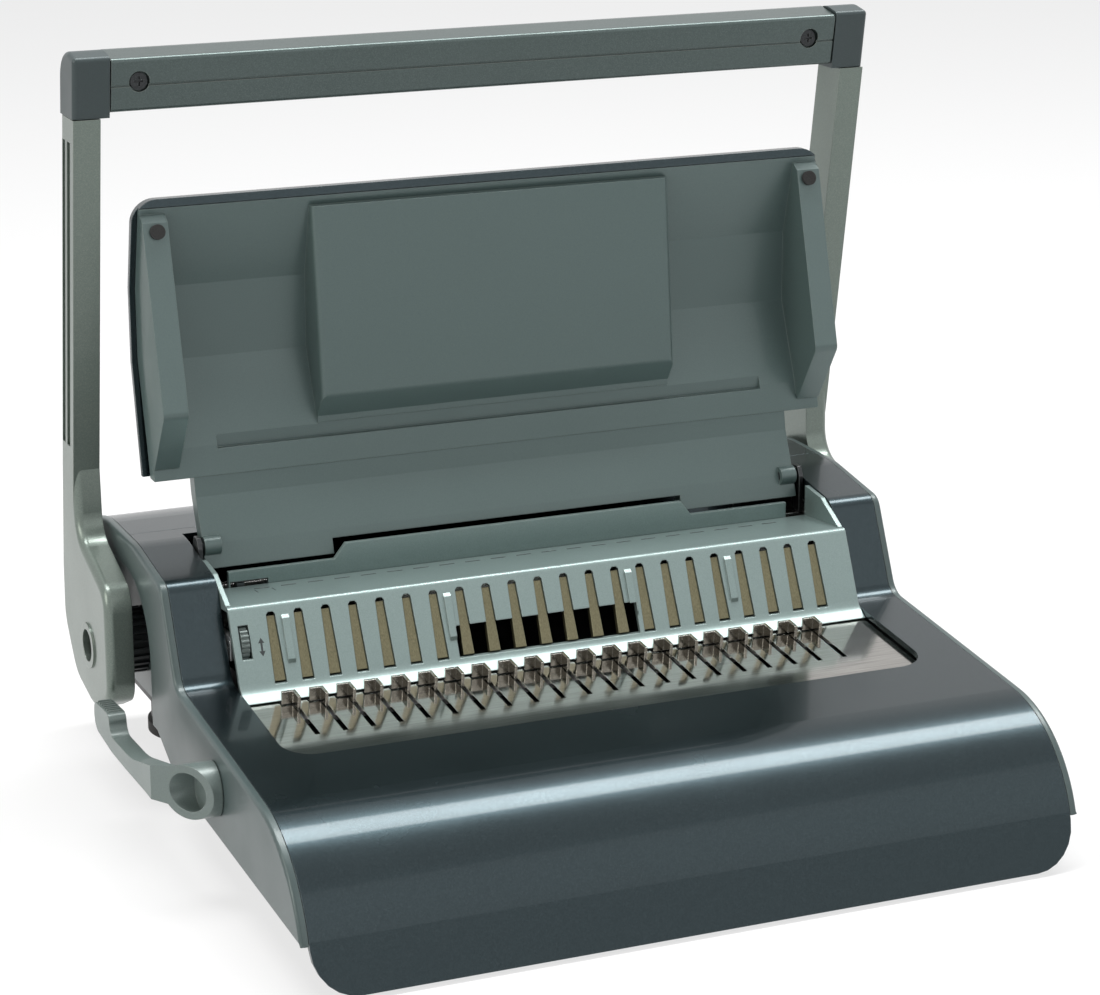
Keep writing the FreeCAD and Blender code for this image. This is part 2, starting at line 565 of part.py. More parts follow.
def disc(body, name, role, centre, radius, at="0"):
    sketch = new_sketch(body, name, role, at)
    middle = Vector(value(centre[0]), value(centre[1]), 0)
    sketch.addGeometry(Part.Circle(middle, Vector(0, 0, 1), value(radius)))
    pin_down(sketch, "DistanceX", 0, 3, centre[0])
    pin_down(sketch, "DistanceY", 0, 3, centre[1])
    size = sketch.addConstraint(Sketcher.Constraint("Radius", 0, value(radius)))
    bind(sketch, f"Constraints[{size}]", radius)
    return sketch


def grow(body, sketch, length, toward):
    """Pad the sketch to the plus or minus side of its axis, or to both sides for 0."""
    feature = body.newObject("PartDesign::Pad", sketch.Name + "_pad")
    feature.Profile = sketch
    bind(feature, "Length", length)
    feature.SideType = "One side" if toward else "Symmetric"
    feature.Reversed = sketch_sign(sketch) * toward < 0
    doc.recompute()
    return feature


def sink(body, sketch, length, toward):
    """Cut the sketch to the plus or minus side of its axis, or to both sides for 0."""
    feature = body.newObject("PartDesign::Pocket", sketch.Name + "_cut")
    feature.Profile = sketch
    bind(feature, "Length", length)
    feature.SideType = "One side" if toward else "Symmetric"
    feature.Reversed = sketch_sign(sketch) * toward > 0
    doc.recompute()
    return feature


def sketch_sign(sketch):
    return normal_sign[sketch.AttachmentSupport[0][0].Role]


def soften(body, name, radius, edges):
    base = body.Tip
    feature = body.newObject("PartDesign::Fillet", name)
    feature.Base = (base, edges)
    bind(feature, "Radius", radius)
    doc.recompute()
    return feature


def row_of(body, name, feature, axis, pitch, count):
    pattern = body.newObject("PartDesign::LinearPattern", name)
    pattern.Originals = [feature]
    pattern.Direction = (origin(body, axis), [""])
    bind(pattern, "Length", f"({pitch}) * ({count} - 1)")
    bind(pattern, "Occurrences", count)
    body.Tip = pattern
    doc.recompute()
    return pattern


def ring_of(body, name, feature, count):
    pattern = body.newObject("PartDesign::PolarPattern", name)
    pattern.Originals = [feature]
    pattern.Axis = (origin(body, "X_Axis"), [""])
    bind(pattern, "Occurrences", count)
    body.Tip = pattern
    doc.recompute()
    return pattern


def hollow(body, name, wall, faces):
    base = body.Tip
    feature = body.newObject("PartDesign::Thickness", name)
    feature.Base = (base, faces)
    bind(feature, "Value", wall)
    feature.Reversed = True
    feature.Join = "Intersection"
    doc.recompute()
    return feature


def near(number, formula):
    return abs(number - value(formula)) < TINY


def edges_along_x(shape, place_y, place_z):
    found = []
    for count, edge in enumerate(shape.Edges, 1):
        box = edge.BoundBox
        thin = box.YLength < TINY and box.ZLength < TINY
        if thin and near(box.YMin, place_y) and near(box.ZMin, place_z):
            found.append(f"Edge{count}")
    return found


def edges_at(shape, x_places, low, high):
    """Edges lying in one of the planes X = place and inside the box from low to high in Y and Z."""
    found = []
    for count, edge in enumerate(shape.Edges, 1):
        box = edge.BoundBox
        flat = box.XLength < TINY and any(near(box.XMin, place) for place in x_places)
        inside_y = box.YMin > value(low[0]) - TINY and box.YMax < value(high[0]) + TINY
        inside_z = box.ZMin > value(low[1]) - TINY and box.ZMax < value(high[1]) + TINY
        if flat and inside_y and inside_z:
            found.append(f"Edge{count}")
    return found


def upright_edges(shape, x_places, place_y):
    found = []
    for count, edge in enumerate(shape.Edges, 1):
        box = edge.BoundBox
        thin = box.XLength < TINY and box.YLength < TINY
        if thin and near(box.YMin, place_y) and any(near(box.XMin, place) for place in x_places):
            found.append(f"Edge{count}")
    return found


def flat_faces(shape, tests):
    """Faces flat in X, Y or Z at one of the given places."""
    found = []
    for count, face in enumerate(shape.Faces, 1):
        box = face.BoundBox
        spans = {"x": (box.XLength, box.XMin), "y": (box.YLength, box.YMin), "z": (box.ZLength, box.ZMin)}
        if any(spans[axis][0] < TINY and near(spans[axis][1], place) for axis, place in tests):
            found.append(f"Face{count}")
    return found


def place_at(thing, spot):
    for axis, formula in zip("xyz", spot):
        bind(thing, f"Placement.Base.{axis}", formula)


def block(name, low, size):
    thing = doc.addObject("Part::Box", name)
    for prop, formula in zip(("Length", "Width", "Height"), size):
        bind(thing, prop, formula)
    place_at(thing, low)
    return thing


def rod(name, start, radius, length):
    thing = doc.addObject("Part::Cylinder", name)
    thing.Placement = Placement(Vector(), Rotation(Vector(0, 1, 0), 90))
    bind(thing, "Radius", radius)
    bind(thing, "Height", length)
    place_at(thing, start)
    return thing


def post(name, start, radius, height):
    thing = doc.addObject("Part::Cylinder", name)
    bind(thing, "Radius", radius)
    bind(thing, "Height", height)
    place_at(thing, start)
    return thing


def fuse(name, members):
    thing = doc.addObject("Part::MultiFuse", name)
    thing.Shapes = members
    return thing


def cut(name, base, tool):
    thing = doc.addObject("Part::Cut", name)
    thing.Base = base
    thing.Tool = tool
    return thing


def group(name, members):
    thing = doc.addObject("Part::Compound", name)
    thing.Links = members
    return thing


def mirror(name, source):
    thing = doc.addObject("Part::Mirroring", name)
    thing.Source = source
    thing.Normal = Vector(1, 0, 0)
    return thing


def tilt(thing, spot, axis, angle):
    """Set a body on a leaning frame turned about X."""
    thing.Placement = Placement(Vector(), Rotation(Vector(axis, 0, 0), value(angle)))
    bind(thing, "Placement.Rotation.Angle", angle)
    place_at(thing, ("0",) + spot)


DECK_ANGLE = "atan((bend_z - nose_z) / (bend_y - nose_y))"
DECK_SPOT = ("bend_y", "bend_z")
LIP_SPOT = ("lip_y", "lip_z")
KNEE_Y = "(lip_y - (lip_z - knee_z) * tan(face_lean))"
FIRST_TINE = "(-(tine_count - 1) / 2 * comb_pitch)"
FIRST_PUNCH = "(-(hook_count - 1) / 2 * comb_pitch)"
CASE_HALF = "(case_width / 2)"
PANEL_INNER = f"({CASE_HALF} + seam_gap)"
PANEL_OUTER = f"({PANEL_INNER} + panel_wall)"
RAIL_Y = "(die_y + die_thick - rail_thick)"
THROAT_Y = "(die_y + die_thick)"
GUIDE_Y = "(die_y + die_thick + throat)"
DECK_TOP = "(-deck_drop)"
DECK_UNDER = "(-deck_drop - deck_wall)"
PLATE_TOP = f"({DECK_UNDER} - plate_gap)"


def floor_pan():
    body = new_body("base_pan")
    grow(body, rectangle(body, "pan", "XY_Plane", ("-pan_half", "pan_front"), ("pan_half", "pan_rear"),
                         "pan_floor"), "pan_wall", 1)
    corners = upright_edges(body.Shape, ("-pan_half", "pan_half"), "pan_front")
    corners += upright_edges(body.Shape, ("-pan_half", "pan_half"), "pan_rear")
    soften(body, "pan_corners", "pan_corner", corners)
    for side, sign in (("left", "-"), ("right", "")):
        for end in ("front", "rear"):
            spot = (f"{sign}{end}_leg_x", f"{end}_leg_y")
            leg = disc(body, f"{side}_{end}_leg", "XY_Plane", spot, f"{end}_leg_radius", "foot_height")
            grow(body, leg, "pan_floor - foot_height", 1)
    publish(body, "base_pan")


def rubber_feet():
    for end in ("front", "rear"):
        feet = []
        for side, sign in (("left", "-"), ("right", "")):
            spot = (f"{sign}{end}_leg_x", f"{end}_leg_y", "0")
            feet.append(post(f"{side}_{end}_foot", spot, f"{end}_foot_radius", "foot_height"))
        publish(group(f"{end}_feet", feet), f"{end}_feet")


def top_casing():
    body = new_body("top_casing")
    profile = [
        ("-front_reach", "skirt_gap"), ("nose_y", "nose_z"), ("bend_y", "bend_z"), ("brow_y", "brow_z"),
        ("crown_y", "crown_z"), ("seam_y", "crown_z"), ("seam_y", "skirt_gap"),
    ]
    grow(body, outline(body, "case_profile", "YZ_Plane", profile), "case_width", 0)
    for corner in ("nose", "bend", "brow", "crown"):
        soften(body, f"case_{corner}", f"{corner}_radius",
               edges_along_x(body.Shape, f"{corner}_y", f"{corner}_z"))
    open_sides = (("x", f"-{CASE_HALF}"), ("x", CASE_HALF), ("y", "seam_y"), ("z", "skirt_gap"))
    hollow(body, "case_hollow", "case_wall", flat_faces(body.Shape, open_sides))
    opening = rectangle(body, "case_opening", "XY_Plane", ("-opening_half", "opening_front"),
                        ("opening_half", "opening_rear"), "crown_z + case_wall")
    sink(body, opening, "crown_z", -1)
    soften(body, "opening_corners", "opening_corner",
           upright_edges(body.Shape, ("-opening_half", "opening_half"), "opening_front"))
    for side, sign in (("left", "-1"), ("right", "1")):
        corner = [(f"{sign} * {CASE_HALF}", "skirt_gap - overcut"), (f"{sign} * {CASE_HALF}", "skirt_gap + skirt_corner")]
        for angle in SKIRT_ANGLES:
            corner.append((f"{sign} * ({CASE_HALF} - skirt_corner * (1 - cos({angle})))",
                           f"skirt_gap + skirt_corner * (1 - sin({angle}))"))
        corner.append((f"{sign} * ({CASE_HALF} - skirt_corner)", "skirt_gap - overcut"))
        sink(body, outline(body, f"{side}_skirt_corner", "XZ_Plane", corner, "-front_reach - overcut"),
             "front_reach + nose_y + 2 * case_wall", 1)
    publish(body, "top_casing")


def rear_hood():
    body = new_body("rear_hood")
    low = ("seam_y + seam_gap", "hood_foot")
    high = ("rear_reach", "crown_z")
    grow(body, rectangle(body, "hood_profile", "YZ_Plane", low, high), "case_width", 0)
    soften(body, "hood_curve", "hood_radius", edges_along_x(body.Shape, "rear_reach", "crown_z"))
    open_sides = (("x", f"-{CASE_HALF}"), ("x", CASE_HALF), ("y", low[0]), ("z", "hood_foot"))
    hollow(body, "hood_hollow", "case_wall", flat_faces(body.Shape, open_sides))
    doorway = rectangle(body, "tray_doorway", "XZ_Plane", ("-tray_half - 2 * seam_gap", "hood_foot - case_wall"),
                        ("tray_half + 2 * seam_gap", "tray_high + 3 * seam_gap"), "rear_reach + case_wall")
    sink(body, doorway, "4 * case_wall", -1)
    publish(body, "rear_hood")


def side_panels():
    body = new_body("right_side_panel")
    front_slope = "(nose_y + front_reach) / (nose_z - skirt_gap)"
    profile = [
        (f"-front_reach + (panel_front_z - skirt_gap) * {front_slope}", "panel_front_z"),
        ("nose_y", "nose_z"), ("bend_y", "bend_z"), ("brow_y", "brow_z"), ("crown_y", "crown_z"),
        ("rear_reach", "crown_z"), ("rear_reach", "arch_z"), ("arch_y", "arch_z"), ("arch_low_y", "arch_low_z"),
    ]
    grow(body, outline(body, "panel_profile", "YZ_Plane", profile, PANEL_INNER), "panel_wall", 1)
    for corner in ("nose", "bend", "brow", "crown"):
        soften(body, f"panel_{corner}", f"{corner}_radius",
               edges_along_x(body.Shape, f"{corner}_y", f"{corner}_z"))
    soften(body, "panel_hood", "crown_z - arch_z - panel_wall",
           edges_along_x(body.Shape, "rear_reach", "crown_z"))
    soften(body, "panel_outer_edge", "panel_edge",
           edges_at(body.Shape, (PANEL_OUTER,), ("-front_reach", "0"), ("rear_reach", "crown_z")))
    low = ("recess_front - recess_wall", "arch_z")
    high = ("recess_rear + recess_wall", "recess_top + recess_wall")
    pod = outline(body, "recess_pod", "YZ_Plane", arched(low, high, "(recess_corner + recess_wall)"),
                  "recess_floor - recess_wall")
    grow(body, pod, f"{PANEL_INNER} - recess_floor + recess_wall", 1)
    low = ("recess_front", "arch_z - panel_wall")
    high = ("recess_rear", "recess_top")
    hole = outline(body, "recess", "YZ_Plane", arched(low, high, "recess_corner"), PANEL_OUTER)
    sink(body, hole, f"{PANEL_OUTER} - recess_floor", -1)
    bore = disc(body, "drive_bore", "YZ_Plane", ("drive_y", "drive_z"), "drive_radius + 2 * seam_gap",
                "recess_floor + seam_gap")
    sink(body, bore, "recess_wall + 2 * seam_gap", -1)
    publish(body, "right_side_panel")
    lever_hole = rod("lever_hole", (f"-{PANEL_OUTER} - overcut", "lever_y", "lever_z"), "lever_radius + 2 * seam_gap",
                     "panel_wall + 2 * overcut")
    publish(cut("left_side_panel", mirror("left_panel_blank", body), lever_hole), "left_side_panel")


def comb_panel():
    body = new_body("comb_panel")
    profile = [
        ("toe_y", "toe_z"), (KNEE_Y, "knee_z"), ("lip_y", "lip_z"), ("ledge_y", "ledge_z"), ("ledge_y", "toe_z"),
    ]
    grow(body, outline(body, "comb_profile", "YZ_Plane", profile), "2 * comb_half", 0)
    soften(body, "comb_knee", "knee_radius", edges_along_x(body.Shape, KNEE_Y, "knee_z"))
    soften(body, "comb_lip", "lip_radius", edges_along_x(body.Shape, "lip_y", "lip_z"))
    open_sides = (("x", "-comb_half"), ("x", "comb_half"), ("y", "ledge_y"), ("z", "toe_z"))
    hollow(body, "comb_hollow", "comb_wall", flat_faces(body.Shape, open_sides))
    comb_cheeks(body)
    comb_ribs(body)
    reach = "lip_y - toe_y + 2 * comb_wall"
    slot = outline(body, "tine_slot", "XZ_Plane", [
        (f"{FIRST_TINE} - tine_slot_foot / 2", "tine_slot_low"),
        (f"{FIRST_TINE} + tine_slot_foot / 2", "tine_slot_low"),
        (f"{FIRST_TINE} + tine_slot_top / 2", "tine_slot_high - tine_slot_top / 4"),
        (f"{FIRST_TINE} + tine_slot_top / 4", "tine_slot_high"),
        (f"{FIRST_TINE} - tine_slot_top / 4", "tine_slot_high"),
        (f"{FIRST_TINE} - tine_slot_top / 2", "tine_slot_high - tine_slot_top / 4"),
    ], "toe_y - comb_wall")
    row_of(body, "tine_slots", sink(body, slot, reach, 1), "X_Axis", "comb_pitch", "tine_count")
    window = rectangle(body, "chip_window", "XZ_Plane", ("window_left", "window_low"),
                       ("window_right", "window_high"), "toe_y - comb_wall")
    sink(body, window, reach, 1)
    wheel_slot = rectangle(
        body, "wheel_slot", "XZ_Plane",
        ("wheel_x - wheel_wide / 2 - wheel_slot_side", "wheel_slot_low"),
        ("wheel_x + wheel_wide / 2 + wheel_slot_side", "wheel_slot_high"), "toe_y - comb_wall")
    sink(body, wheel_slot, reach, 1)
    ledge_at_dash = "lip_z + (ledge_z - lip_z) * (dash_y - lip_y) / (ledge_y - lip_y)"
    dash = rectangle(body, "dash", "XY_Plane",
                     (f"{FIRST_PUNCH} - dash_length / 2", "dash_y - dash_width / 2"),
                     (f"{FIRST_PUNCH} + dash_length / 2", "dash_y + dash_width / 2"), "lip_z + comb_wall")
    depth = f"lip_z + comb_wall - ({ledge_at_dash}) + dash_depth"
    row_of(body, "dashes", sink(body, dash, depth, -1), "X_Axis", "comb_pitch", "hook_count")
    publish(body, "comb_panel")


def comb_cheeks(body):
    profile = [
        ("lip_y + lip_radius", "lip_z - comb_wall"), ("lip_y + lip_radius", "lip_z"),
        ("cheek_mid_y", "cheek_mid_z"), ("ledge_y", "cheek_top_z"), ("ledge_y", "ledge_z - comb_wall / 2"),
    ]
    for side, start, toward in (("left", "-comb_half", 1), ("right", "comb_half", -1)):
        grow(body, outline(body, f"{side}_cheek", "YZ_Plane", profile, start), "cheek_wall", toward)


def comb_ribs(body):
    lean_y = "sin(face_lean)"
    lean_z = "cos(face_lean)"
    rib_profile = [
        (f"lip_y - rib_low * {lean_y}", f"lip_z - rib_low * {lean_z}"),
        (f"lip_y - (rib_low - rib_taper) * {lean_y} - rib_rise * {lean_z}",
         f"lip_z - (rib_low - rib_taper) * {lean_z} + rib_rise * {lean_y}"),
        (f"lip_y - (rib_high + rib_taper) * {lean_y} - rib_rise * {lean_z}",
         f"lip_z - (rib_high + rib_taper) * {lean_z} + rib_rise * {lean_y}"),
        (f"lip_y - rib_high * {lean_y}", f"lip_z - rib_high * {lean_z}"),
        (f"lip_y - rib_high * {lean_y} + {lean_z}", f"lip_z - rib_high * {lean_z} - {lean_y}"),
        (f"lip_y - rib_low * {lean_y} + {lean_z}", f"lip_z - rib_low * {lean_z} - {lean_y}"),
    ]
    for name in ("rib_far_left", "rib_left", "rib_right", "rib_far_right"):
        start = f"{FIRST_TINE} + {name}_step * comb_pitch + rib_step - rib_width / 2"
        grow(body, outline(body, name, "YZ_Plane", rib_profile, start), "rib_width", 1)


def comb_tines():
    """Strips in the slots with the bar that joins them behind the panel, on the leaning face."""
    body = new_body("comb_tines")
    low = "(lip_z - tine_slot_low - comb_wall * sin(face_lean) - tine_fit) / cos(face_lean)"
    high = "(lip_z - tine_slot_high) / cos(face_lean) + tine_slot_top / 4 + 2 * tine_fit"
    bar_top = f"-({high}) - tine_bar_drop"
    bar = rectangle(body, "tine_bar_face", "XZ_Plane", (f"{FIRST_TINE} - comb_pitch / 2", f"{bar_top} - tine_bar"),
                    (f"-{FIRST_TINE} + comb_pitch / 2", bar_top), "comb_wall + seam_gap")
    grow(body, bar, "tine_depth + tine_thick - comb_wall - seam_gap", 1)
    strip = outline(body, "strip", "XZ_Plane", [
        (f"{FIRST_TINE} - tine_slot_foot / 2 + tine_fit", f"-({low})"),
        (f"{FIRST_TINE} + tine_slot_foot / 2 - tine_fit", f"-({low})"),
        (f"{FIRST_TINE} + tine_slot_top / 2 - tine_fit", f"-({high})"),
        (f"{FIRST_TINE} - tine_slot_top / 2 + tine_fit", f"-({high})"),
    ], "tine_depth")
    row_of(body, "strips", grow(body, strip, "tine_thick", 1), "X_Axis", "comb_pitch", "tine_count")
    tilt(body, LIP_SPOT, -1, "face_lean")
    publish(body, "comb_tines")


def punch_holes(body, name, start, spare):
    hole = rectangle(
        body, name, "XZ_Plane",
        (f"{FIRST_PUNCH} - pin_wide / 2 - {spare}", f"punch_z - pin_tall / 2 - {spare}"),
        (f"{FIRST_PUNCH} + pin_wide / 2 + {spare}", f"punch_z + pin_tall / 2 + {spare}"), f"{start} - overcut")
    row_of(body, f"{name}_row", sink(body, hole, "die_thick + 2 * overcut", 1), "X_Axis", "comb_pitch", "hook_count")


def punch_block():
    die = new_body("die_plate")
    grow(die, rectangle(die, "die_face", "XZ_Plane", ("-die_half", "die_low"), ("die_half", "die_high"), "die_y"),
         "die_thick", 1)
    punch_holes(die, "die_hole", "die_y", "slide_gap")
    gate = rectangle(die, "die_gate", "XZ_Plane", ("gate_left", "gate_low"), ("gate_right", "die_high + overcut"),
                     "die_y - overcut")
    sink(die, gate, "die_thick + 2 * overcut", 1)
    publish(die, "die_plate")
    guide = new_body("punch_guide")
    grow(guide, rectangle(guide, "guide_face", "XZ_Plane", ("-die_half", "die_low"), ("die_half", "guide_high"),
                          GUIDE_Y), "die_thick", 1)
    punch_holes(guide, "guide_hole", GUIDE_Y, "slide_gap")
    publish(guide, "punch_guide")
    publish(block("paper_stop", ("-rail_half", THROAT_Y, "die_low"), ("2 * rail_half", "throat", "stop_rise")),
            "paper_stop")


def paper_rail():
    body = new_body("paper_rail")
    profile = [
        ("-rail_half", "die_high"), ("-rail_half", "rail_high"), ("-rail_mid_half - rail_ramp", "rail_high"),
        ("-rail_mid_half", "rail_mid"), ("rail_mid_half", "rail_mid"), ("rail_mid_half + rail_ramp", "rail_high"),
        ("rail_half", "rail_high"), ("rail_half", "die_high"),
    ]
    grow(body, outline(body, "rail_face", "XZ_Plane", profile, RAIL_Y), "rail_thick", 1)
    gate = rectangle(body, "rail_gate", "XZ_Plane", ("gate_left", "die_high - overcut"), ("gate_right", "gate_high"),
                     f"{RAIL_Y} - overcut")
    sink(body, gate, "rail_thick + 2 * overcut", 1)
    publish(body, "paper_rail")


def side_frames():
    body = new_body("right_side_frame")
    floor = "pan_floor + pan_wall"
    profile = [
        ("frame_front", floor), ("frame_front", "frame_front_z"), ("frame_step_y", "frame_step_z"),
        ("frame_neck_y", "frame_neck_z"), ("frame_top_y", "frame_top_z"), ("frame_back_y", "frame_top_z"),
        ("frame_rear", "frame_rear_z"), ("frame_rear", floor),
    ]
    grow(body, outline(body, "frame_profile", "YZ_Plane", profile, "frame_x"), "frame_wall", 1)
    for name, spot in (("drive", ("drive_y", "drive_z")), ("lever", ("lever_y", "lever_z"))):
        hole = disc(body, f"frame_{name}_hole", "YZ_Plane", spot, f"{name}_radius + bush_wall", "frame_x - overcut")
        sink(body, hole, "frame_wall + 2 * overcut", 1)
    publish(body, "right_side_frame")
    publish(mirror("left_side_frame", body), "left_side_frame")


def bush(name, spot, radius):
    """Flanged sleeve in the right frame, its flange on the inside."""
    body = new_body(name)
    start = "frame_x - bush_lip"
    grow(body, disc(body, f"{name}_flange", "YZ_Plane", spot, f"{radius} + bush_flange - drive_radius", start),
         "bush_lip - seat_gap", 1)
    grow(body, disc(body, f"{name}_sleeve", "YZ_Plane", spot, f"{radius} + bush_wall - seat_gap", start),
         "bush_lip + frame_wall + bush_tail", 1)
    bore = disc(body, f"{name}_bore", "YZ_Plane", spot, f"{radius} + turn_gap", f"{start} - overcut")
    sink(body, bore, "bush_lip + frame_wall + bush_tail + 2 * overcut", 1)
    return body


def bearings():
    right = bush("right_drive_bush", ("drive_y", "drive_z"), "drive_radius")
    publish(group("shaft_bushes", [right, mirror("left_drive_bush", right)]), "shaft_bushes")
    lever = bush("right_lever_bush", ("lever_y", "lever_z"), "lever_radius")
    publish(group("lever_bearings", [lever, mirror("left_lever_bush", lever)]), "lever_bearings")


def lid_brackets():
    body = new_body("right_lid_bracket")
    foot = "guide_high + seat_gap"
    profile = [
        (f"{GUIDE_Y} + seam_gap", foot), (f"{GUIDE_Y} + die_thick - seam_gap", foot),
        ("hinge_y + hinge_knuckle", "hinge_z - hinge_knuckle"), ("hinge_y + hinge_knuckle", "hinge_z"),
        ("hinge_y + hinge_knuckle / 2", "hinge_z + hinge_knuckle"),
        ("hinge_y - hinge_knuckle / 2", "hinge_z + hinge_knuckle"), ("hinge_y - hinge_knuckle", "hinge_z"),
    ]
    grow(body, outline(body, "bracket_profile", "YZ_Plane", profile, "bracket_x"), "bracket_wall", 1)
    hole = disc(body, "bracket_hole", "YZ_Plane", ("hinge_y", "hinge_z"), "hinge_pin + turn_gap", "bracket_x - overcut")
    sink(body, hole, "bracket_wall + 2 * overcut", 1)
    publish(group("lid_hinge_brackets", [body, mirror("left_lid_bracket", body)]), "lid_hinge_brackets")


def tooth_wheel(name, module, teeth, bore, width):
    """Involute spur wheel about the X axis with one tooth pointing up."""
    lean = math.radians(value("flank_angle"))
    pitch_radius = module * teeth / 2
    base_radius = pitch_radius * math.cos(lean)
    tip_radius = pitch_radius + module * value("tip_share")
    root_radius = pitch_radius - module * value("root_share")
    half_tooth = math.pi / (2 * teeth) - value("mesh_play") / (4 * pitch_radius)
    start = math.tan(lean) - lean
    last_roll = math.sqrt((tip_radius / base_radius) ** 2 - 1)
    flank = [(root_radius, half_tooth + start)]
    for step in range(FLANK_STEPS + 1):
        roll = last_roll * step / FLANK_STEPS
        flank.append((base_radius * math.hypot(1, roll), half_tooth + start - roll + math.atan(roll)))
    points = []
    for tooth in range(teeth):
        middle = math.pi / 2 + tooth * 2 * math.pi / teeth
        for sign, side in ((-1, flank), (1, flank[::-1])):
            for radius, turn in side:
                angle = middle + sign * turn
                points.append(Vector(0, radius * math.cos(angle), radius * math.sin(angle)))
    face = Part.Face(Part.makePolygon(points + points[:1]))
    wheel = face.extrude(Vector(width, 0, 0))
    hole = Part.makeCylinder(bore, width, Vector(), Vector(1, 0, 0))
    thing = doc.addObject("Part::Feature", name)
    thing.Shape = wheel.cut(hole)
    return thing


def wheel_pair(label, drive, inner, turn):
    wheels = []
    width = value(f"{drive}_wheel_wide")
    for side, start in (("left", -value(inner) - width), ("right", value(inner))):
        wheel = tooth_wheel(f"{side}_{drive}_wheel", value(f"{drive}_module"), int(value(f"{drive}_teeth")),
                            value(f"{drive}_radius + seat_gap"), width)
        spot = Vector(start, value(f"{drive}_y"), value(f"{drive}_z"))
        wheel.Placement = Placement(spot, Rotation(Vector(1, 0, 0), turn))
        wheels.append(wheel)
    publish(group(label, wheels), label)


def rack_teeth(body, drive, inner, pitch_line, meet):
    """Teeth hanging from a bar at both ends, a gap standing over the wheel's upright tooth."""
    pitch = f"(pi * {drive}_module)"
    slope = "tan(flank_angle)"
    tip = f"(tip_share * {drive}_module)"
    root = f"(rack_root_share * {drive}_module)"
    half = f"({pitch} / 4 - mesh_play / 4)"
    middle = f"({meet} - rack_lead * {pitch})"
    profile = [
        (f"{middle} - {half} + {tip} * {slope}", f"{pitch_line} - {tip}"),
        (f"{middle} + {half} - {tip} * {slope}", f"{pitch_line} - {tip}"),
        (f"{middle} + {half} + {root} * {slope}", f"{pitch_line} + {root}"),
        (f"{middle} + {half} + {root} * {slope}", f"{pitch_line} + {root} + mesh_play"),
        (f"{middle} - {half} - {root} * {slope}", f"{pitch_line} + {root} + mesh_play"),
        (f"{middle} - {half} - {root} * {slope}", f"{pitch_line} + {root}"),
    ]
    for side, start in (("left", f"-({inner}) - {drive}_wheel_wide"), ("right", inner)):
        tooth = outline(body, f"{side}_{drive}_tooth", "YZ_Plane", profile, start)
        grow(body, tooth, f"{drive}_wheel_wide", 1)
        row_of(body, f"{side}_{drive}_rack", body.Tip, "Y_Axis", pitch, f"{drive}_rack_teeth")


def punch_drive():
    body = new_body("punch_bar")
    bar = rectangle(body, "bar_profile", "YZ_Plane", ("bar_y", "bar_low"), ("bar_y + bar_deep", "bar_high"))
    grow(body, bar, "2 * bar_half", 0)
    pitch = "(pi * drive_module)"
    pitch_line = "(drive_z + drive_module * drive_teeth / 2)"
    strip_low = f"({pitch_line} + rack_root_share * drive_module)"
    low = ("bar_y + bar_deep / 2", strip_low)
    high = (f"drive_y + (drive_rack_teeth - 1) * {pitch}", f"{strip_low} + drive_strip")
    for side, start in (("left", "-drive_wheel_x - drive_wheel_wide"), ("right", "drive_wheel_x")):
        strip = rectangle(body, f"{side}_drive_strip", "YZ_Plane", low, high, start)
        grow(body, strip, "drive_wheel_wide", 1)
    rack_teeth(body, "drive", "drive_wheel_x", pitch_line, "drive_y")
    publish(body, "punch_bar")
    pins = new_body("punch_pins")
    pin = rectangle(pins, "pin", "XZ_Plane", (f"{FIRST_PUNCH} - pin_wide / 2", "punch_z - pin_tall / 2"),
                    (f"{FIRST_PUNCH} + pin_wide / 2", "punch_z + pin_tall / 2"), "pin_tip_y")
    row_of(pins, "pin_row", grow(pins, pin, "bar_y - pin_tip_y", 1), "X_Axis", "comb_pitch", "hook_count")
    publish(pins, "punch_pins")
    publish(cut_shaft(), "drive_shaft")
    wheel_pair("drive_pinions", "drive", "drive_wheel_x", 0)


def cut_shaft():
    shaft = rod("drive_blank", ("-arm_inner + seat_gap", "drive_y", "drive_z"), "drive_radius", "2 * arm_inner - 2 * seat_gap")
    length = "pivot_reach + overcut"
    left = rod("left_tap", ("-arm_inner - overcut + seat_gap", "drive_y", "drive_z"), "pivot_shank + seat_gap", length)
    right = rod("right_tap", ("arm_inner - pivot_reach - seat_gap", "drive_y", "drive_z"), "pivot_shank + seat_gap", length)
    return cut("drive_shaft", shaft, fuse("shaft_taps", [left, right]))


def handle_hubs():
    """Ribbed collar between the recess floor and an arm, drawn about its own axis."""
    body = new_body("right_hub")
    start = "recess_floor + 2 * seam_gap"
    length = f"arm_inner - ({start}) - seat_gap"
    grow(body, disc(body, "hub_disc", "YZ_Plane", ("0", "0"), "hub_radius", start), length, 1)
    rib = rectangle(body, "hub_rib_face", "YZ_Plane", ("-hub_rib / 2", "hub_radius - hub_rib / 2"),
                    ("hub_rib / 2", "hub_radius + hub_rib"), start)
    ring_of(body, "hub_ring", grow(body, rib, length, 1), "hub_ribs")
    bore = disc(body, "hub_bore", "YZ_Plane", ("0", "0"), "drive_radius + seat_gap", "recess_floor")
    sink(body, bore, "arm_inner - recess_floor", 1)
    place_at(body, ("0", "drive_y", "drive_z"))
    publish(body, "right_hub")
    publish(mirror("left_hub", body), "left_hub")


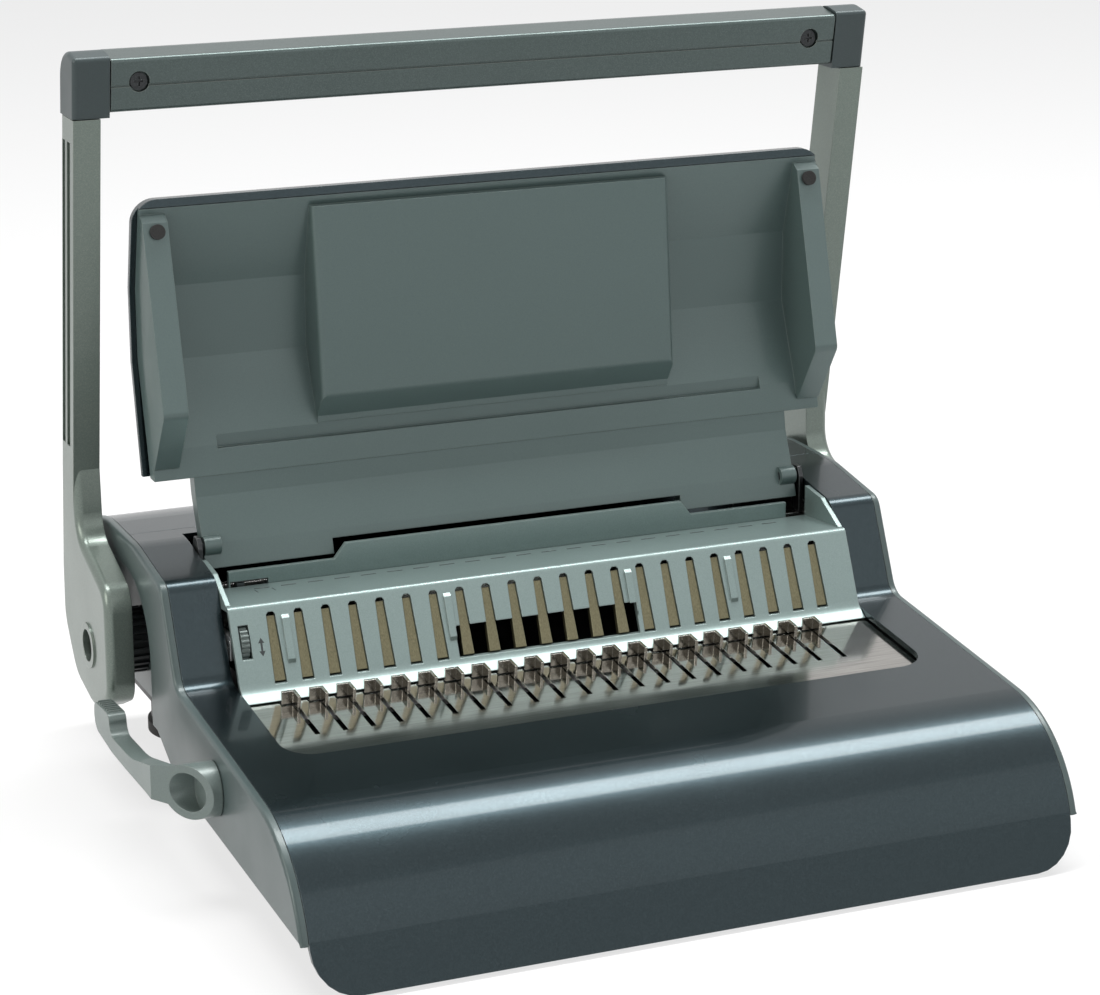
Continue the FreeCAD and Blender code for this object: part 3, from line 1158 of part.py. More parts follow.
def handle_arms():
    body = new_body("right_arm")
    profile = [
        ("arm_top_front", "arm_top_z"), ("arm_neck_front", "arm_neck_z"), ("arm_flare_y", "arm_flare_z"),
        ("arm_boss_front", "arm_boss_z"), ("arm_boss_front", "arm_boss_low"), ("arm_keel_y", "arm_keel_z"),
        ("arm_heel_y", "arm_heel_z"), ("arm_rear_y", "arm_rear_low"), ("arm_rear_y - arm_rear_lean", "arm_rear_high"),
        ("arm_neck_rear", "arm_neck_z"), ("arm_top_rear", "arm_top_z"),
    ]
    grow(body, outline(body, "arm_profile", "YZ_Plane", profile, "arm_inner"), "arm_outer - arm_inner", 1)
    for name, spot, radius in (
        ("arm_flare", ("arm_flare_y", "arm_flare_z"), "arm_flare_radius"),
        ("arm_boss", ("arm_boss_front", "arm_boss_z"), "arm_boss_radius"),
        ("arm_boss_foot", ("arm_boss_front", "arm_boss_low"), "arm_boss_radius"),
        ("arm_keel", ("arm_keel_y", "arm_keel_z"), "arm_heel_radius"),
        ("arm_heel", ("arm_heel_y", "arm_heel_z"), "arm_heel_radius"),
        ("arm_rear", ("arm_rear_y", "arm_rear_low"), "arm_heel_radius"),
    ):
        soften(body, f"{name}_round", radius, edges_along_x(body.Shape, *spot))
    soften(body, "arm_outer_edge", "arm_edge",
           edges_at(body.Shape, ("arm_outer",), ("0", "0"), ("rear_reach", "arm_top_z - overcut")))
    arm_flutes(body)
    spot = ("drive_y", "drive_z")
    grow(body, disc(body, "arm_rim", "YZ_Plane", spot, "rim_radius", "arm_outer"), "rim_rise", 1)
    sink(body, disc(body, "arm_pivot", "YZ_Plane", spot, "pivot_radius", "arm_outer + rim_rise"),
         "rim_rise + pivot_deep", -1)
    sink(body, disc(body, "arm_bore", "YZ_Plane", spot, "pivot_shank + 2 * seat_gap", "arm_inner - overcut"),
         "arm_outer - arm_inner", 1)
    publish(body, "right_arm")
    publish(mirror("left_arm", body), "left_arm")
    pivot_screws()


def arm_flutes(body):
    low = "arm_neck_z + flute_end"
    high = "arm_top_z - flute_end"
    run = "(arm_top_front - arm_neck_front) / (arm_top_z - arm_neck_z)"
    depth = "(arm_top_rear - arm_top_front)"
    for name in ("front", "rear"):
        share = f"flute_{name}_share"
        at_low = f"arm_neck_front + flute_end * {run} + {share} * {depth}"
        at_high = f"arm_top_front - flute_end * {run} + {share} * {depth}"
        groove = outline(body, f"{name}_flute", "YZ_Plane", [
            (f"{at_low} - flute_wide / 2", low), (f"{at_low} + flute_wide / 2", low),
            (f"{at_high} + flute_wide / 2", high), (f"{at_high} - flute_wide / 2", high),
        ], "arm_outer")
        sink(body, groove, "flute_deep", -1)


def pivot_screws():
    body = new_body("right_pivot_screw")
    spot = ("drive_y", "drive_z")
    seat = "arm_outer - pivot_deep"
    grow(body, disc(body, "pivot_head_disc", "YZ_Plane", spot, "pivot_head", f"{seat} + seat_gap"),
         "pivot_head_tall", 1)
    grow(body, disc(body, "pivot_shank_disc", "YZ_Plane", spot, "pivot_shank", "arm_inner - pivot_reach + shank_gap"),
         f"{seat} - arm_inner + pivot_reach", 1)
    top = f"{seat} + seat_gap + pivot_head_tall"
    cross_slot(body, "pivot", "YZ_Plane", spot, top, -1)
    publish(group("arm_screws", [body, mirror("left_pivot_screw", body)]), "arm_screws")


def cross_slot(body, name, role, spot, top, toward):
    for part, wide, tall in (("level", "cross_long", "cross_wide"), ("upright", "cross_wide", "cross_long")):
        low = (f"{spot[0]} - {wide} / 2", f"{spot[1]} - {tall} / 2")
        high = (f"{spot[0]} + {wide} / 2", f"{spot[1]} + {tall} / 2")
        sink(body, rectangle(body, f"{name}_{part}", role, low, high, top), "cross_deep", toward)


def crossbar():
    body = new_body("crossbar")
    front = ("grip_low_y", "grip_low_z")
    profile = [
        front, ("grip_high_y", "grip_high_z"), ("grip_high_y + grip_deep", "grip_high_z + grip_rise"),
        ("grip_low_y + grip_deep", "grip_low_z + grip_rise"),
    ]
    grow(body, outline(body, "grip_profile", "YZ_Plane", profile), "2 * grip_half", 0)
    soften(body, "grip_front_edges", "grip_edge",
           edges_along_x(body.Shape, *profile[0]) + edges_along_x(body.Shape, *profile[1]))
    soften(body, "grip_rear_edges", "grip_back",
           edges_along_x(body.Shape, *profile[2]) + edges_along_x(body.Shape, *profile[3]))
    line_y = "(grip_low_y + grip_high_y) / 2"
    line_z = "(grip_low_z + grip_high_z) / 2"
    line = rectangle(body, "grip_line_face", "YZ_Plane", (f"{line_y} - 3 * grip_line", f"{line_z} - grip_line / 2"),
                     (f"{line_y} + grip_line", f"{line_z} + grip_line / 2"))
    sink(body, line, "2 * grip_half", 0)
    face_y = "(grip_low_y + (grip_high_y - grip_low_y) * (grip_hole_z - grip_low_z) / (grip_high_z - grip_low_z))"
    screws = []
    for side, sign in (("left", "-"), ("right", "")):
        spot = (f"{sign}grip_hole_x", "grip_hole_z")
        hole = disc(body, f"{side}_grip_hole", "XZ_Plane", spot, "grip_hole_radius", f"{face_y} - grip_hole_deep")
        sink(body, hole, "2 * grip_hole_deep", 1)
        screws.append(grip_screw(f"{side}_grip_screw", spot, f"{face_y} + grip_hole_deep - seat_gap"))
    publish(body, "crossbar")
    publish(group("crossbar_screws", screws), "crossbar_screws")


def grip_screw(name, spot, seat):
    body = new_body(name)
    grow(body, disc(body, f"{name}_head", "XZ_Plane", spot, "grip_screw_radius", seat), "grip_screw_tall", -1)
    cross_slot(body, name, "XZ_Plane", spot, f"{seat} - grip_screw_tall", 1)
    return body


def end_caps():
    body = new_body("right_end_cap")
    start = "grip_half + cap_gap"
    profile = [
        ("cap_low_front", "cap_low_z"), ("cap_high_front", "cap_high_z"), ("cap_rear_y", "cap_rear_z"),
        ("cap_low_rear", "cap_low_z"),
    ]
    grow(body, outline(body, "cap_profile", "YZ_Plane", profile, start), f"arm_outer - ({start})", 1)
    soften(body, "cap_corner", "cap_radius", edges_along_x(body.Shape, "cap_rear_y", "cap_rear_z"))
    soften(body, "cap_front", "cap_edge", edges_along_x(body.Shape, "cap_high_front", "cap_high_z"))
    soften(body, "cap_outer_edge", "cap_edge",
           edges_at(body.Shape, ("arm_outer",), ("0", "cap_low_z + overcut"), ("rear_reach", "cap_rear_z")))
    publish(body, "right_end_cap")
    publish(mirror("left_end_cap", body), "left_end_cap")


def lid_liner():
    body = new_body("lid_liner")
    thick = "tongue_thick"
    tongue = [
        ("tongue_tip_y", "tongue_tip_z"), ("tongue_mid_y", "tongue_mid_z"), ("tongue_high_y", "tongue_high_z"),
        ("groove_y", "groove_z"), (f"groove_y + {thick}", "groove_z"), (f"tongue_high_y + {thick}", "tongue_high_z"),
        (f"tongue_mid_y + {thick}", "tongue_mid_z"), (f"tongue_tip_y + {thick}", "tongue_tip_z"),
    ]
    grow(body, outline(body, "tongue", "YZ_Plane", tongue), "2 * tongue_half", 0)
    notch = rectangle(body, "tongue_notch", "XZ_Plane", ("-tongue_notch_half", "tongue_tip_z - overcut"),
                      ("tongue_notch_half", "tongue_notch_z"), "tongue_tip_y - 2 * overcut")
    sink(body, notch, f"3 * {thick}", 1)
    wing = [
        ("wing_y", "wing_z"), ("groove_y", "groove_z"), (f"groove_y + {thick}", "groove_z"),
        (f"wing_y + {thick}", "wing_z"),
    ]
    grow(body, outline(body, "wing", "YZ_Plane", wing), "2 * liner_half", 0)
    bay = [
        ("groove_y", "groove_z"), ("bay_low_y", "bay_low_z"), ("bay_high_y", "bay_high_z"),
        ("lid_top_y", "lid_top_z"), ("lid_top_y + liner_wall", "lid_top_z"),
        ("bay_high_y + liner_wall", "bay_high_z"), ("bay_low_y + liner_wall", "bay_low_z"),
        (f"groove_y + {thick}", "groove_z"),
    ]
    grow(body, outline(body, "bay", "YZ_Plane", bay), "2 * liner_half", 0)
    lid_block(body)
    lid_pods(body)
    groove = rectangle(body, "groove", "XZ_Plane", ("-groove_half", "groove_z - groove_tall / 4"),
                       ("groove_half", "groove_z + groove_tall * 3 / 4"), "tongue_tip_y")
    sink(body, groove, "groove_y - tongue_tip_y + groove_deep", 1)
    for side, start in (("left", "-tongue_half"), ("right", "knuckle_x")):
        knuckle = disc(body, f"{side}_knuckle", "YZ_Plane", ("hinge_y", "hinge_z"), "hinge_knuckle", start)
        grow(body, knuckle, "tongue_half - knuckle_x", 1)
        bore = disc(body, f"{side}_pin_bore", "YZ_Plane", ("hinge_y", "hinge_z"), "hinge_pin + seat_gap", start)
        sink(body, bore, "tongue_half - knuckle_x", 1)
    publish(body, "lid_liner")


def lid_block(body):
    profile = [
        ("block_top_y", "block_top_z"), ("block_low_y", "block_low_z"), ("block_foot_y", "block_foot_z"),
        ("groove_y + liner_wall / 2", "groove_z"), ("bay_low_y + liner_wall / 2", "bay_low_z"),
        ("bay_high_y + liner_wall / 2", "bay_high_z"), ("lid_top_y + liner_wall / 2", "block_top_z"),
    ]
    grow(body, outline(body, "block", "YZ_Plane", profile), "2 * block_half", 0)
    edges = edges_along_x(body.Shape, "block_low_y", "block_low_z")
    edges += edges_at(body.Shape, ("-block_half", "block_half"), ("block_low_y - overcut", "block_low_z - overcut"),
                      ("block_top_y + overcut", "block_top_z"))
    soften(body, "block_edges", "block_edge", edges)


def lid_pods(body):
    profile = [
        ("pod_top_y", "pod_top_z"), ("pod_corner_y", "pod_corner_z"), ("pod_tip_y", "pod_tip_z"),
        ("groove_y + liner_wall", "groove_z"), ("bay_low_y + liner_wall / 2", "bay_low_z"),
        ("bay_high_y + liner_wall / 2", "bay_high_z"), ("lid_top_y + liner_wall / 2", "lid_top_z - liner_wall"),
    ]
    width = "liner_half - pod_inner"
    for side, start in (("left", "-liner_half"), ("right", "pod_inner")):
        grow(body, outline(body, f"{side}_pod", "YZ_Plane", profile, start), width, 1)
    soften(body, "pod_corner_round", "pod_edge", edges_along_x(body.Shape, "pod_corner_y", "pod_corner_z"))


def lid_shell():
    body = new_body("lid_shell")
    inner = "liner_wall + seam_gap"
    outer = "liner_wall + seam_gap + shell_wall"
    rim = "lid_top_z + seam_gap"
    profile = [
        ("lid_top_y", rim), ("lid_top_y + shell_lip", "shell_top_z"), (f"lid_top_y + {outer}", "shell_top_z"),
        (f"bay_high_y + {outer}", "bay_high_z"), (f"bay_low_y + {outer}", "bay_low_z"),
        ("shell_foot_y + shell_wall", "wing_z"), ("shell_foot_y", "wing_z"), (f"bay_low_y + {inner}", "bay_low_z"),
        (f"bay_high_y + {inner}", "bay_high_z"), (f"lid_top_y + {inner}", rim),
    ]
    grow(body, outline(body, "shell_profile", "YZ_Plane", profile), "2 * shell_half", 0)
    corners = edges_at(body.Shape, ("-shell_half", "shell_half"), ("lid_top_y", "shell_top_z"),
                       ("rear_reach", "shell_top_z"))
    soften(body, "shell_corners", "shell_corner", corners)
    publish(body, "lid_shell")


def lid_small_parts():
    slope = "atan((pod_top_y - pod_corner_y) / (pod_top_z - pod_corner_z))"
    face_y = "(pod_top_y - (pod_top_z - bumper_z) * (pod_top_y - pod_corner_y) / (pod_top_z - pod_corner_z))"
    bumpers = []
    pins = []
    for side, sign in (("left", "-"), ("right", "")):
        bumper = doc.addObject("Part::Cylinder", f"{side}_bumper")
        bumper.Placement = Placement(Vector(), Rotation(Vector(1, 0, 0), value(f"90 deg - {slope}")))
        bind(bumper, "Placement.Rotation.Angle", f"90 deg - {slope}")
        bind(bumper, "Radius", "bumper_radius")
        bind(bumper, "Height", "bumper_rise")
        place_at(bumper, (f"{sign}bumper_x", face_y, "bumper_z"))
        bumpers.append(bumper)
    length = "bracket_x + bracket_wall - knuckle_x"
    for side, start in (("left", "-bracket_x - bracket_wall"), ("right", "knuckle_x")):
        pins.append(rod(f"{side}_hinge_pin", (start, "hinge_y", "hinge_z"), "hinge_pin", length))
    publish(group("lid_bumpers", bumpers), "lid_bumpers")
    publish(group("lid_hinge_pins", pins), "lid_hinge_pins")


def deck_plate():
    body = new_body("deck_plate")
    plate = rectangle(body, "deck_face", "XY_Plane", ("-deck_half", "deck_front"), ("deck_half", "deck_rear"),
                      DECK_UNDER)
    grow(body, plate, "deck_wall", 1)
    blade = f"{FIRST_TINE} + hook_shift"
    track = outline(body, "track", "XY_Plane", [
        (f"{blade} - track_wide / 2", "track_front"), (f"{blade} + track_wide / 2", "track_front"),
        (f"{blade} + track_wide / 2", "track_rear"), (f"{blade} - key_left - track_wide / 2", "track_rear"),
        (f"{blade} - key_left - track_wide / 2", "track_rear - key_long"),
        (f"{blade} - track_wide / 2", "track_rear - key_long"),
    ], "0")
    row_of(body, "tracks", sink(body, track, "deck_drop + 2 * deck_wall", -1), "X_Axis", "comb_pitch", "hook_count")
    tilt(body, DECK_SPOT, 1, DECK_ANGLE)
    publish(body, "deck_plate")


LEVER_ALONG = f"((lever_y - bend_y) * cos({DECK_ANGLE}) + (lever_z - bend_z) * sin({DECK_ANGLE}))"
LEVER_ABOVE = f"((lever_z - bend_z) * cos({DECK_ANGLE}) - (lever_y - bend_y) * sin({DECK_ANGLE}))"


def hook_drive():
    body = new_body("hook_plate")
    under = f"{PLATE_TOP} - plate_wall"
    inner = "(plate_half - lever_wheel_wide)"
    plate = rectangle(body, "hook_plate_face", "XY_Plane", (f"-{inner} + seam_gap", "plate_front"),
                      (f"{inner} - seam_gap", "plate_rear"), under)
    grow(body, plate, "plate_wall", 1)
    pitch = "(pi * lever_module)"
    pitch_line = f"({LEVER_ABOVE} + lever_module * lever_teeth / 2)"
    strip_low = f"({pitch_line} + rack_root_share * lever_module)"
    for side, start in (("left", "-plate_half"), ("right", f"{inner} - overcut")):
        strip = rectangle(body, f"{side}_lever_strip", "YZ_Plane", (f"{LEVER_ALONG} - strip_lead * {pitch}", strip_low),
                          (f"{LEVER_ALONG} + (lever_rack_teeth - strip_trim) * {pitch}", PLATE_TOP), start)
        grow(body, strip, "lever_wheel_wide + overcut", 1)
    rack_teeth(body, "lever", inner, pitch_line, LEVER_ALONG)
    tilt(body, DECK_SPOT, 1, DECK_ANGLE)
    publish(body, "hook_plate")
    wheel_pair("lever_pinions", "lever", inner, value(DECK_ANGLE))


def comb_hooks():
    body = new_body("comb_hooks")
    blade = f"{FIRST_TINE} + hook_shift"
    low = f"{PLATE_TOP} + seat_gap"
    side = rectangle(body, "hook_blade", "YZ_Plane", ("hook_face - hook_long", low), ("hook_face", "hook_tall"),
                     f"{blade} - hook_thick / 2")
    grow(body, side, "hook_thick", 1)
    row_of(body, "hook_blades", body.Tip, "X_Axis", "comb_pitch", "hook_count")
    tab = rectangle(body, "hook_tab_face", "XZ_Plane",
                    (f"{blade} + hook_thick / 2 - hook_tab", f"{DECK_TOP} + hook_low"),
                    (f"{blade} + hook_thick / 2", "hook_tall"), "hook_face - hook_thick")
    grow(body, tab, "hook_thick", 1)
    row_of(body, "hook_tabs", body.Tip, "X_Axis", "comb_pitch", "hook_count")
    tilt(body, DECK_SPOT, 1, DECK_ANGLE)
    publish(body, "comb_hooks")


def comb_lever():
    body = new_body("comb_lever")
    spot = ("lever_y", "lever_z")
    hub_start = f"-{PANEL_OUTER} - seam_gap"
    grow(body, disc(body, "lever_hub", "YZ_Plane", spot, "hub_lever_radius", hub_start),
         f"lever_end - {PANEL_OUTER} - seam_gap", -1)
    profile = [
        ("lever_y", "lever_z + hub_lever_radius"), ("lever_back_y", "lever_back_z"), ("lever_rise_y", "lever_rise_z"),
        ("thumb_top_y", "thumb_top_z"), ("thumb_rear_y", "thumb_rear_z"), ("thumb_heel_y", "thumb_heel_z"),
        ("lever_sole_y", "lever_sole_z"), ("lever_dip_y", "lever_dip_z"), ("lever_bow_y", "lever_bow_z"),
        ("lever_y + hub_lever_radius * sin(lever_join)", "lever_z - hub_lever_radius * cos(lever_join)"), spot,
    ]
    grow(body, outline(body, "lever_arm", "YZ_Plane", profile, "-lever_side"), "lever_end - lever_side", -1)
    for name, corner, radius in (
        ("back", ("lever_back_y", "lever_back_z"), "lever_back_round"),
        ("rise", ("lever_rise_y", "lever_rise_z"), "lever_rise_round"),
        ("top", ("thumb_top_y", "thumb_top_z"), "thumb_top_round"),
        ("rear", ("thumb_rear_y", "thumb_rear_z"), "thumb_rear_round"),
        ("heel", ("thumb_heel_y", "thumb_heel_z"), "thumb_heel_round"),
    ):
        soften(body, f"lever_{name}_round", radius, edges_along_x(body.Shape, *corner))
    front = "lever_y - 3 * hub_lever_radius"
    rear = "lever_y + 3 * hub_lever_radius"
    far = "-2 * lever_end"
    slant = outline(body, "lever_slant_face", "XY_Plane", [
        ("-lever_face + 3 * hub_lever_radius * tan(lever_slant)", front),
        ("-lever_face - 3 * hub_lever_radius * tan(lever_slant)", rear),
        (far, rear), (far, front),
    ], "0")
    sink(body, slant, "2 * (lever_z + 4 * hub_lever_radius)", 0)
    sink(body, disc(body, "lever_bowl_disc", "YZ_Plane", spot, "lever_bowl", "-lever_bowl_x"), "lever_end", -1)
    sink(body, disc(body, "lever_socket_disc", "YZ_Plane", spot, "lever_radius + seat_gap", hub_start),
         f"lever_socket - {PANEL_OUTER} - seam_gap + 2 * seat_gap", -1)
    thumb_ribs(body)
    publish(body, "comb_lever")
    publish(rod("lever_shaft", ("-lever_socket", "lever_y", "lever_z"), "lever_radius",
                "lever_socket + lever_reach"), "lever_shaft")


def thumb_ribs(body):
    slope = "(thumb_rear_z - thumb_top_z) / (thumb_rear_y - thumb_top_y)"
    front = "(thumb_top_y + thumb_rear_y - (thumb_ribs - 1) * thumb_rib_pitch) / 2"
    for rib in range(int(value("thumb_ribs"))):
        place = f"({front} + {rib} * thumb_rib_pitch)"
        top = f"(thumb_top_z + ({place} - thumb_top_y) * {slope})"
        profile = [
            (f"{place} - thumb_rib_wide / 2", f"{top} - overcut"), (f"{place} + thumb_rib_wide / 2", f"{top} - overcut"),
            (f"{place} + thumb_rib_wide / 4", f"{top} + thumb_rib_rise"),
            (f"{place} - thumb_rib_wide / 4", f"{top} + thumb_rib_rise"),
        ]
        sketch = outline(body, f"thumb_rib_{rib}", "YZ_Plane", profile, "-lever_side - overcut")
        grow(body, sketch, "lever_end - lever_side - 2 * overcut", -1)


def edge_guide():
    spot = ("wheel_y", "wheel_z")
    wheel = new_body("thumbwheel")
    start = "wheel_x - wheel_wide / 2"
    grow(wheel, disc(wheel, "wheel_disc", "YZ_Plane", ("0", "0"), "wheel_radius", start), "wheel_wide", 1)
    notch = disc(wheel, "wheel_grip", "YZ_Plane", ("0", "wheel_radius"), "wheel_notch", f"{start} - overcut")
    ring_of(wheel, "wheel_grips", sink(wheel, notch, "wheel_wide + 2 * overcut", 1), "wheel_notches")
    sink(wheel, disc(wheel, "wheel_bore", "YZ_Plane", ("0", "0"), "spindle_radius + seat_gap", f"{start} - overcut"),
         "wheel_wide + 2 * overcut", 1)
    place_at(wheel, ("0",) + spot)
    publish(wheel, "thumbwheel")
    publish(rod("guide_spindle", ("spindle_left",) + spot, "spindle_radius", "spindle_right - spindle_left"),
            "guide_spindle")
    spindle_bracket(spot)
    guide = new_body("edge_guide")
    grow(guide, rectangle(guide, "nut", "YZ_Plane", ("nut_front", "nut_low"), ("nut_rear", "nut_high"), "nut_left"),
         "nut_long", 1)
    sink(guide, disc(guide, "nut_bore", "YZ_Plane", spot, "spindle_radius + turn_gap", "nut_left - overcut"),
         "nut_long + 2 * overcut", 1)
    tip_y = f"{GUIDE_Y} - 2 * seam_gap"
    arm = outline(guide, "finger", "YZ_Plane", [
        ("nut_front + finger_step", "nut_high - overcut"), ("nut_rear", "nut_high - overcut"),
        ("nut_rear + finger_step", "finger_low"),
        (tip_y, "finger_low"), (tip_y, "finger_tip"), (f"{RAIL_Y} + 2 * seam_gap", "finger_tip"),
        (f"{RAIL_Y} + 2 * seam_gap", "finger_high"), ("nut_rear", "finger_high"),
    ], "finger_left")
    grow(guide, arm, "finger_wide", 1)
    publish(guide, "edge_guide")


def spindle_bracket(spot):
    ears = []
    size = ("ear_wall", "ear_rear - ear_front", "ear_high - ear_low")
    for side, start in (("left", "spindle_left"), ("right", "spindle_right - ear_wall")):
        ears.append(block(f"{side}_ear", (start, "ear_front", "ear_low"), size))
    ears.append(block("ear_web", ("spindle_left", "ear_rear - web_wall", "ear_low"),
                      ("spindle_right - spindle_left", "web_wall", "web_high - ear_low")))
    bore = rod("ear_bore", ("spindle_left - overcut",) + spot, "spindle_radius + turn_gap",
               "spindle_right - spindle_left + 2 * overcut")
    publish(cut("spindle_bracket", fuse("ears", ears), bore), "spindle_bracket")


def chip_tray():
    body = new_body("chip_tray")
    grow(body, rectangle(body, "tray_plan", "XY_Plane", ("-tray_half", "tray_front"), ("tray_half", "tray_rear"),
                         "tray_low"), "tray_high - tray_low", 1)
    inside = rectangle(body, "tray_inside", "XY_Plane", ("-tray_half + tray_wall", "tray_front + tray_wall"),
                       ("tray_half - tray_wall", "rear_reach - case_wall - tray_wall"), "tray_high")
    sink(body, inside, "tray_high - tray_low - tray_wall", -1)
    pull = rectangle(body, "tray_pull", "XZ_Plane", ("-tray_pull_half", "tray_low + 2 * tray_wall"),
                     ("tray_pull_half", "tray_high - 2 * tray_wall"), "tray_rear")
    sink(body, pull, "tray_pull_deep", -1)
    publish(body, "chip_tray")
    runners = []
    size = ("runner_wide", "runner_rear - runner_front", "runner_tall")
    for side, start in (("left", "-tray_half - seam_gap - runner_wide"), ("right", "tray_half + seam_gap")):
        runners.append(block(f"{side}_runner", (start, "runner_front", "pan_floor + pan_wall"), size))
    publish(group("tray_runners", runners), "tray_runners")


def sole_screws():
    screws = []
    for side, sign in (("left", "-"), ("right", "")):
        for end in ("front", "mid", "rear"):
            spot = (f"{sign}(frame_x + frame_wall / 2)", f"sole_screw_{end}", "pan_floor - sole_screw_tall")
            screws.append(post(f"{side}_{end}_sole_screw", spot, "sole_screw_radius", "sole_screw_tall"))
    publish(group("sole_screws", screws), "sole_screws")


floor_pan()
rubber_feet()
sole_screws()
side_frames()
bearings()
top_casing()
rear_hood()
side_panels()
comb_panel()
comb_tines()
punch_block()
paper_rail()
deck_plate()
lid_brackets()
punch_drive()
handle_hubs()
handle_arms()
crossbar()
end_caps()
lid_liner()
lid_shell()
lid_small_parts()
hook_drive()
comb_hooks()
comb_lever()
edge_guide()
chip_tray()
doc.recompute()

faults = [thing.Label for thing in doc.Objects if {"Invalid", "Error"} & set(thing.State)]
faults += [piece.Label for piece in pieces if piece.Shape.isNull() or not piece.Shape.isValid()]
if faults:
    raise RuntimeError("faulty objects: " + ", ".join(faults))

# The written parts stand on the table with the origin under the middle of the whole machine.
whole = Part.makeCompound([piece.Shape for piece in pieces]).optimalBoundingBox(False, False)
stand = Vector(-whole.Center.x, -whole.Center.y, -whole.ZMin)
os.makedirs("parts", exist_ok=True)
for piece in pieces:
    piece.Shape.translated(stand).exportStep(f"parts/{piece.Label}.step")
print(len(pieces), "parts written")
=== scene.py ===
import bmesh
import bpy
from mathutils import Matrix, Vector


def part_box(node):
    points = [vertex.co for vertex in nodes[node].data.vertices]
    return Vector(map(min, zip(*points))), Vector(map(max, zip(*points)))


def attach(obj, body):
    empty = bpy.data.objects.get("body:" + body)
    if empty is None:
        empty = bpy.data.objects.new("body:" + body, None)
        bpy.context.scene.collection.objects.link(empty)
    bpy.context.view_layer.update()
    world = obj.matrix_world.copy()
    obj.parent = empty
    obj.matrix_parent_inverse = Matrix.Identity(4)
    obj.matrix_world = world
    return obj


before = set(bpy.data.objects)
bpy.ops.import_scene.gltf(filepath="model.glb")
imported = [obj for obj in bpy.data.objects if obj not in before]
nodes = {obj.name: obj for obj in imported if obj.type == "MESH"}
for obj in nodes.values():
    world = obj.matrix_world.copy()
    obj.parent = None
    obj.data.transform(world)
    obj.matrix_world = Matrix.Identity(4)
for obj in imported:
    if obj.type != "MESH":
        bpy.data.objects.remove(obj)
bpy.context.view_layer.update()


# Base pan: a tray pressed from sheet steel and stove enamelled black. It is flanged all round and
# carries the side frames; the enamel is semi-matt with a fine orange-peel skin.
def wired(tree, kind, **inputs):
    """A node of that kind with its named inputs set, or linked where the value is a socket."""
    node = tree.nodes.new("ShaderNode" + kind)
    for name, value in inputs.items():
        socket = node.inputs[name.replace("_", " ")]
        if isinstance(value, bpy.types.NodeSocket):
            tree.links.new(value, socket)
        else:
            socket.default_value = value
    return node


def blended(tree, factor, stops):
    """Colours that run through the stops (position, colour) as the factor goes from 0 to 1."""
    ramp = wired(tree, "ValToRGB", Fac=factor)
    while len(ramp.color_ramp.elements) < len(stops):
        ramp.color_ramp.elements.new(0.5)
    for element, (position, colour) in zip(ramp.color_ramp.elements, stops):
        element.position = position
        element.color = (*colour, 1.0)
    return ramp.outputs["Color"]


def finish(name, stops, rough, grain, relief, edge, metal=0.0, coat=0.0, flake=False, stretch=(1, 1, 1)):
    """A finish with a grain of that size in metres: its colour runs through the stops from grain to
    grain, its roughness drifts between two values, and sharp edges are lightened to the edge colour
    as a painted highlight along them."""
    # Width and strength of the painted highlight that lightens sharp edges towards the edge colour.
    edge_highlight_width, edge_highlight_share = 0.0006, 0.55
    sharp_edge, flat_face = 0.82, 0.99
    cloud_scale, cloud_low, cloud_high = 22.0, 0.3, 0.7
    relief_strength, coat_roughness = 0.35, 0.08

    made = bpy.data.materials.new(name)
    made.use_nodes = True
    tree = made.node_tree
    shader = tree.nodes["Principled BSDF"]
    place = wired(tree, "TexCoord").outputs["Object"]
    laid = wired(tree, "Mapping", Vector=place, Scale=stretch).outputs["Vector"]
    if flake:
        cells = wired(tree, "TexVoronoi", Vector=laid, Scale=1 / grain)
        fine = wired(tree, "SeparateColor", Color=cells.outputs["Color"]).outputs["Red"]
    else:
        fine = wired(tree, "TexNoise", Vector=laid, Scale=1 / grain, Detail=4.0).outputs["Fac"]
    cloud = wired(tree, "TexNoise", Vector=place, Scale=cloud_scale, Detail=3.0).outputs["Fac"]

    rounded = wired(tree, "Bevel", Radius=edge_highlight_width).outputs["Normal"]
    facing = wired(tree, "NewGeometry").outputs["Normal"]
    meet = tree.nodes.new("ShaderNodeVectorMath")
    meet.operation = "DOT_PRODUCT"
    tree.links.new(rounded, meet.inputs[0])
    tree.links.new(facing, meet.inputs[1])
    # Sharp edges are mixed towards the edge colour: a painted highlight along them.
    painted_edge_highlight = wired(tree, "MapRange", Value=meet.outputs["Value"], From_Min=sharp_edge, From_Max=flat_face,
                 To_Min=edge_highlight_share, To_Max=0.0).outputs["Result"]
    tint = tree.nodes.new("ShaderNodeMix")
    tint.data_type = "RGBA"
    tree.links.new(painted_edge_highlight, tint.inputs["Factor"])
    tree.links.new(blended(tree, fine, stops), tint.inputs[6])
    tint.inputs[7].default_value = (*edge, 1.0)
    tree.links.new(tint.outputs[2], shader.inputs["Base Color"])

    drift = wired(tree, "MapRange", Value=cloud, From_Min=cloud_low, From_Max=cloud_high,
                  To_Min=rough[0], To_Max=rough[1]).outputs["Result"]
    tree.links.new(drift, shader.inputs["Roughness"])
    bump = wired(tree, "Bump", Height=fine, Normal=rounded, Strength=relief_strength, Distance=relief)
    tree.links.new(bump.outputs["Normal"], shader.inputs["Normal"])
    shader.inputs["Metallic"].default_value = metal
    shader.inputs["Coat Weight"].default_value = coat
    shader.inputs["Coat Roughness"].default_value = coat_roughness
    return made


def dress(material, *names):
    """Gives the CAD nodes of those names that finish."""
    for name in names:
        for holder in nodes[name].material_slots:
            holder.material = material


black_enamel = finish("black_enamel", ((0.3, (0.008, 0.009, 0.010)), (0.7, (0.016, 0.018, 0.019))),
                      rough=(0.38, 0.52), grain=0.0011, relief=0.00004, edge=(0.05, 0.055, 0.06))
dress(black_enamel, "base_pan")


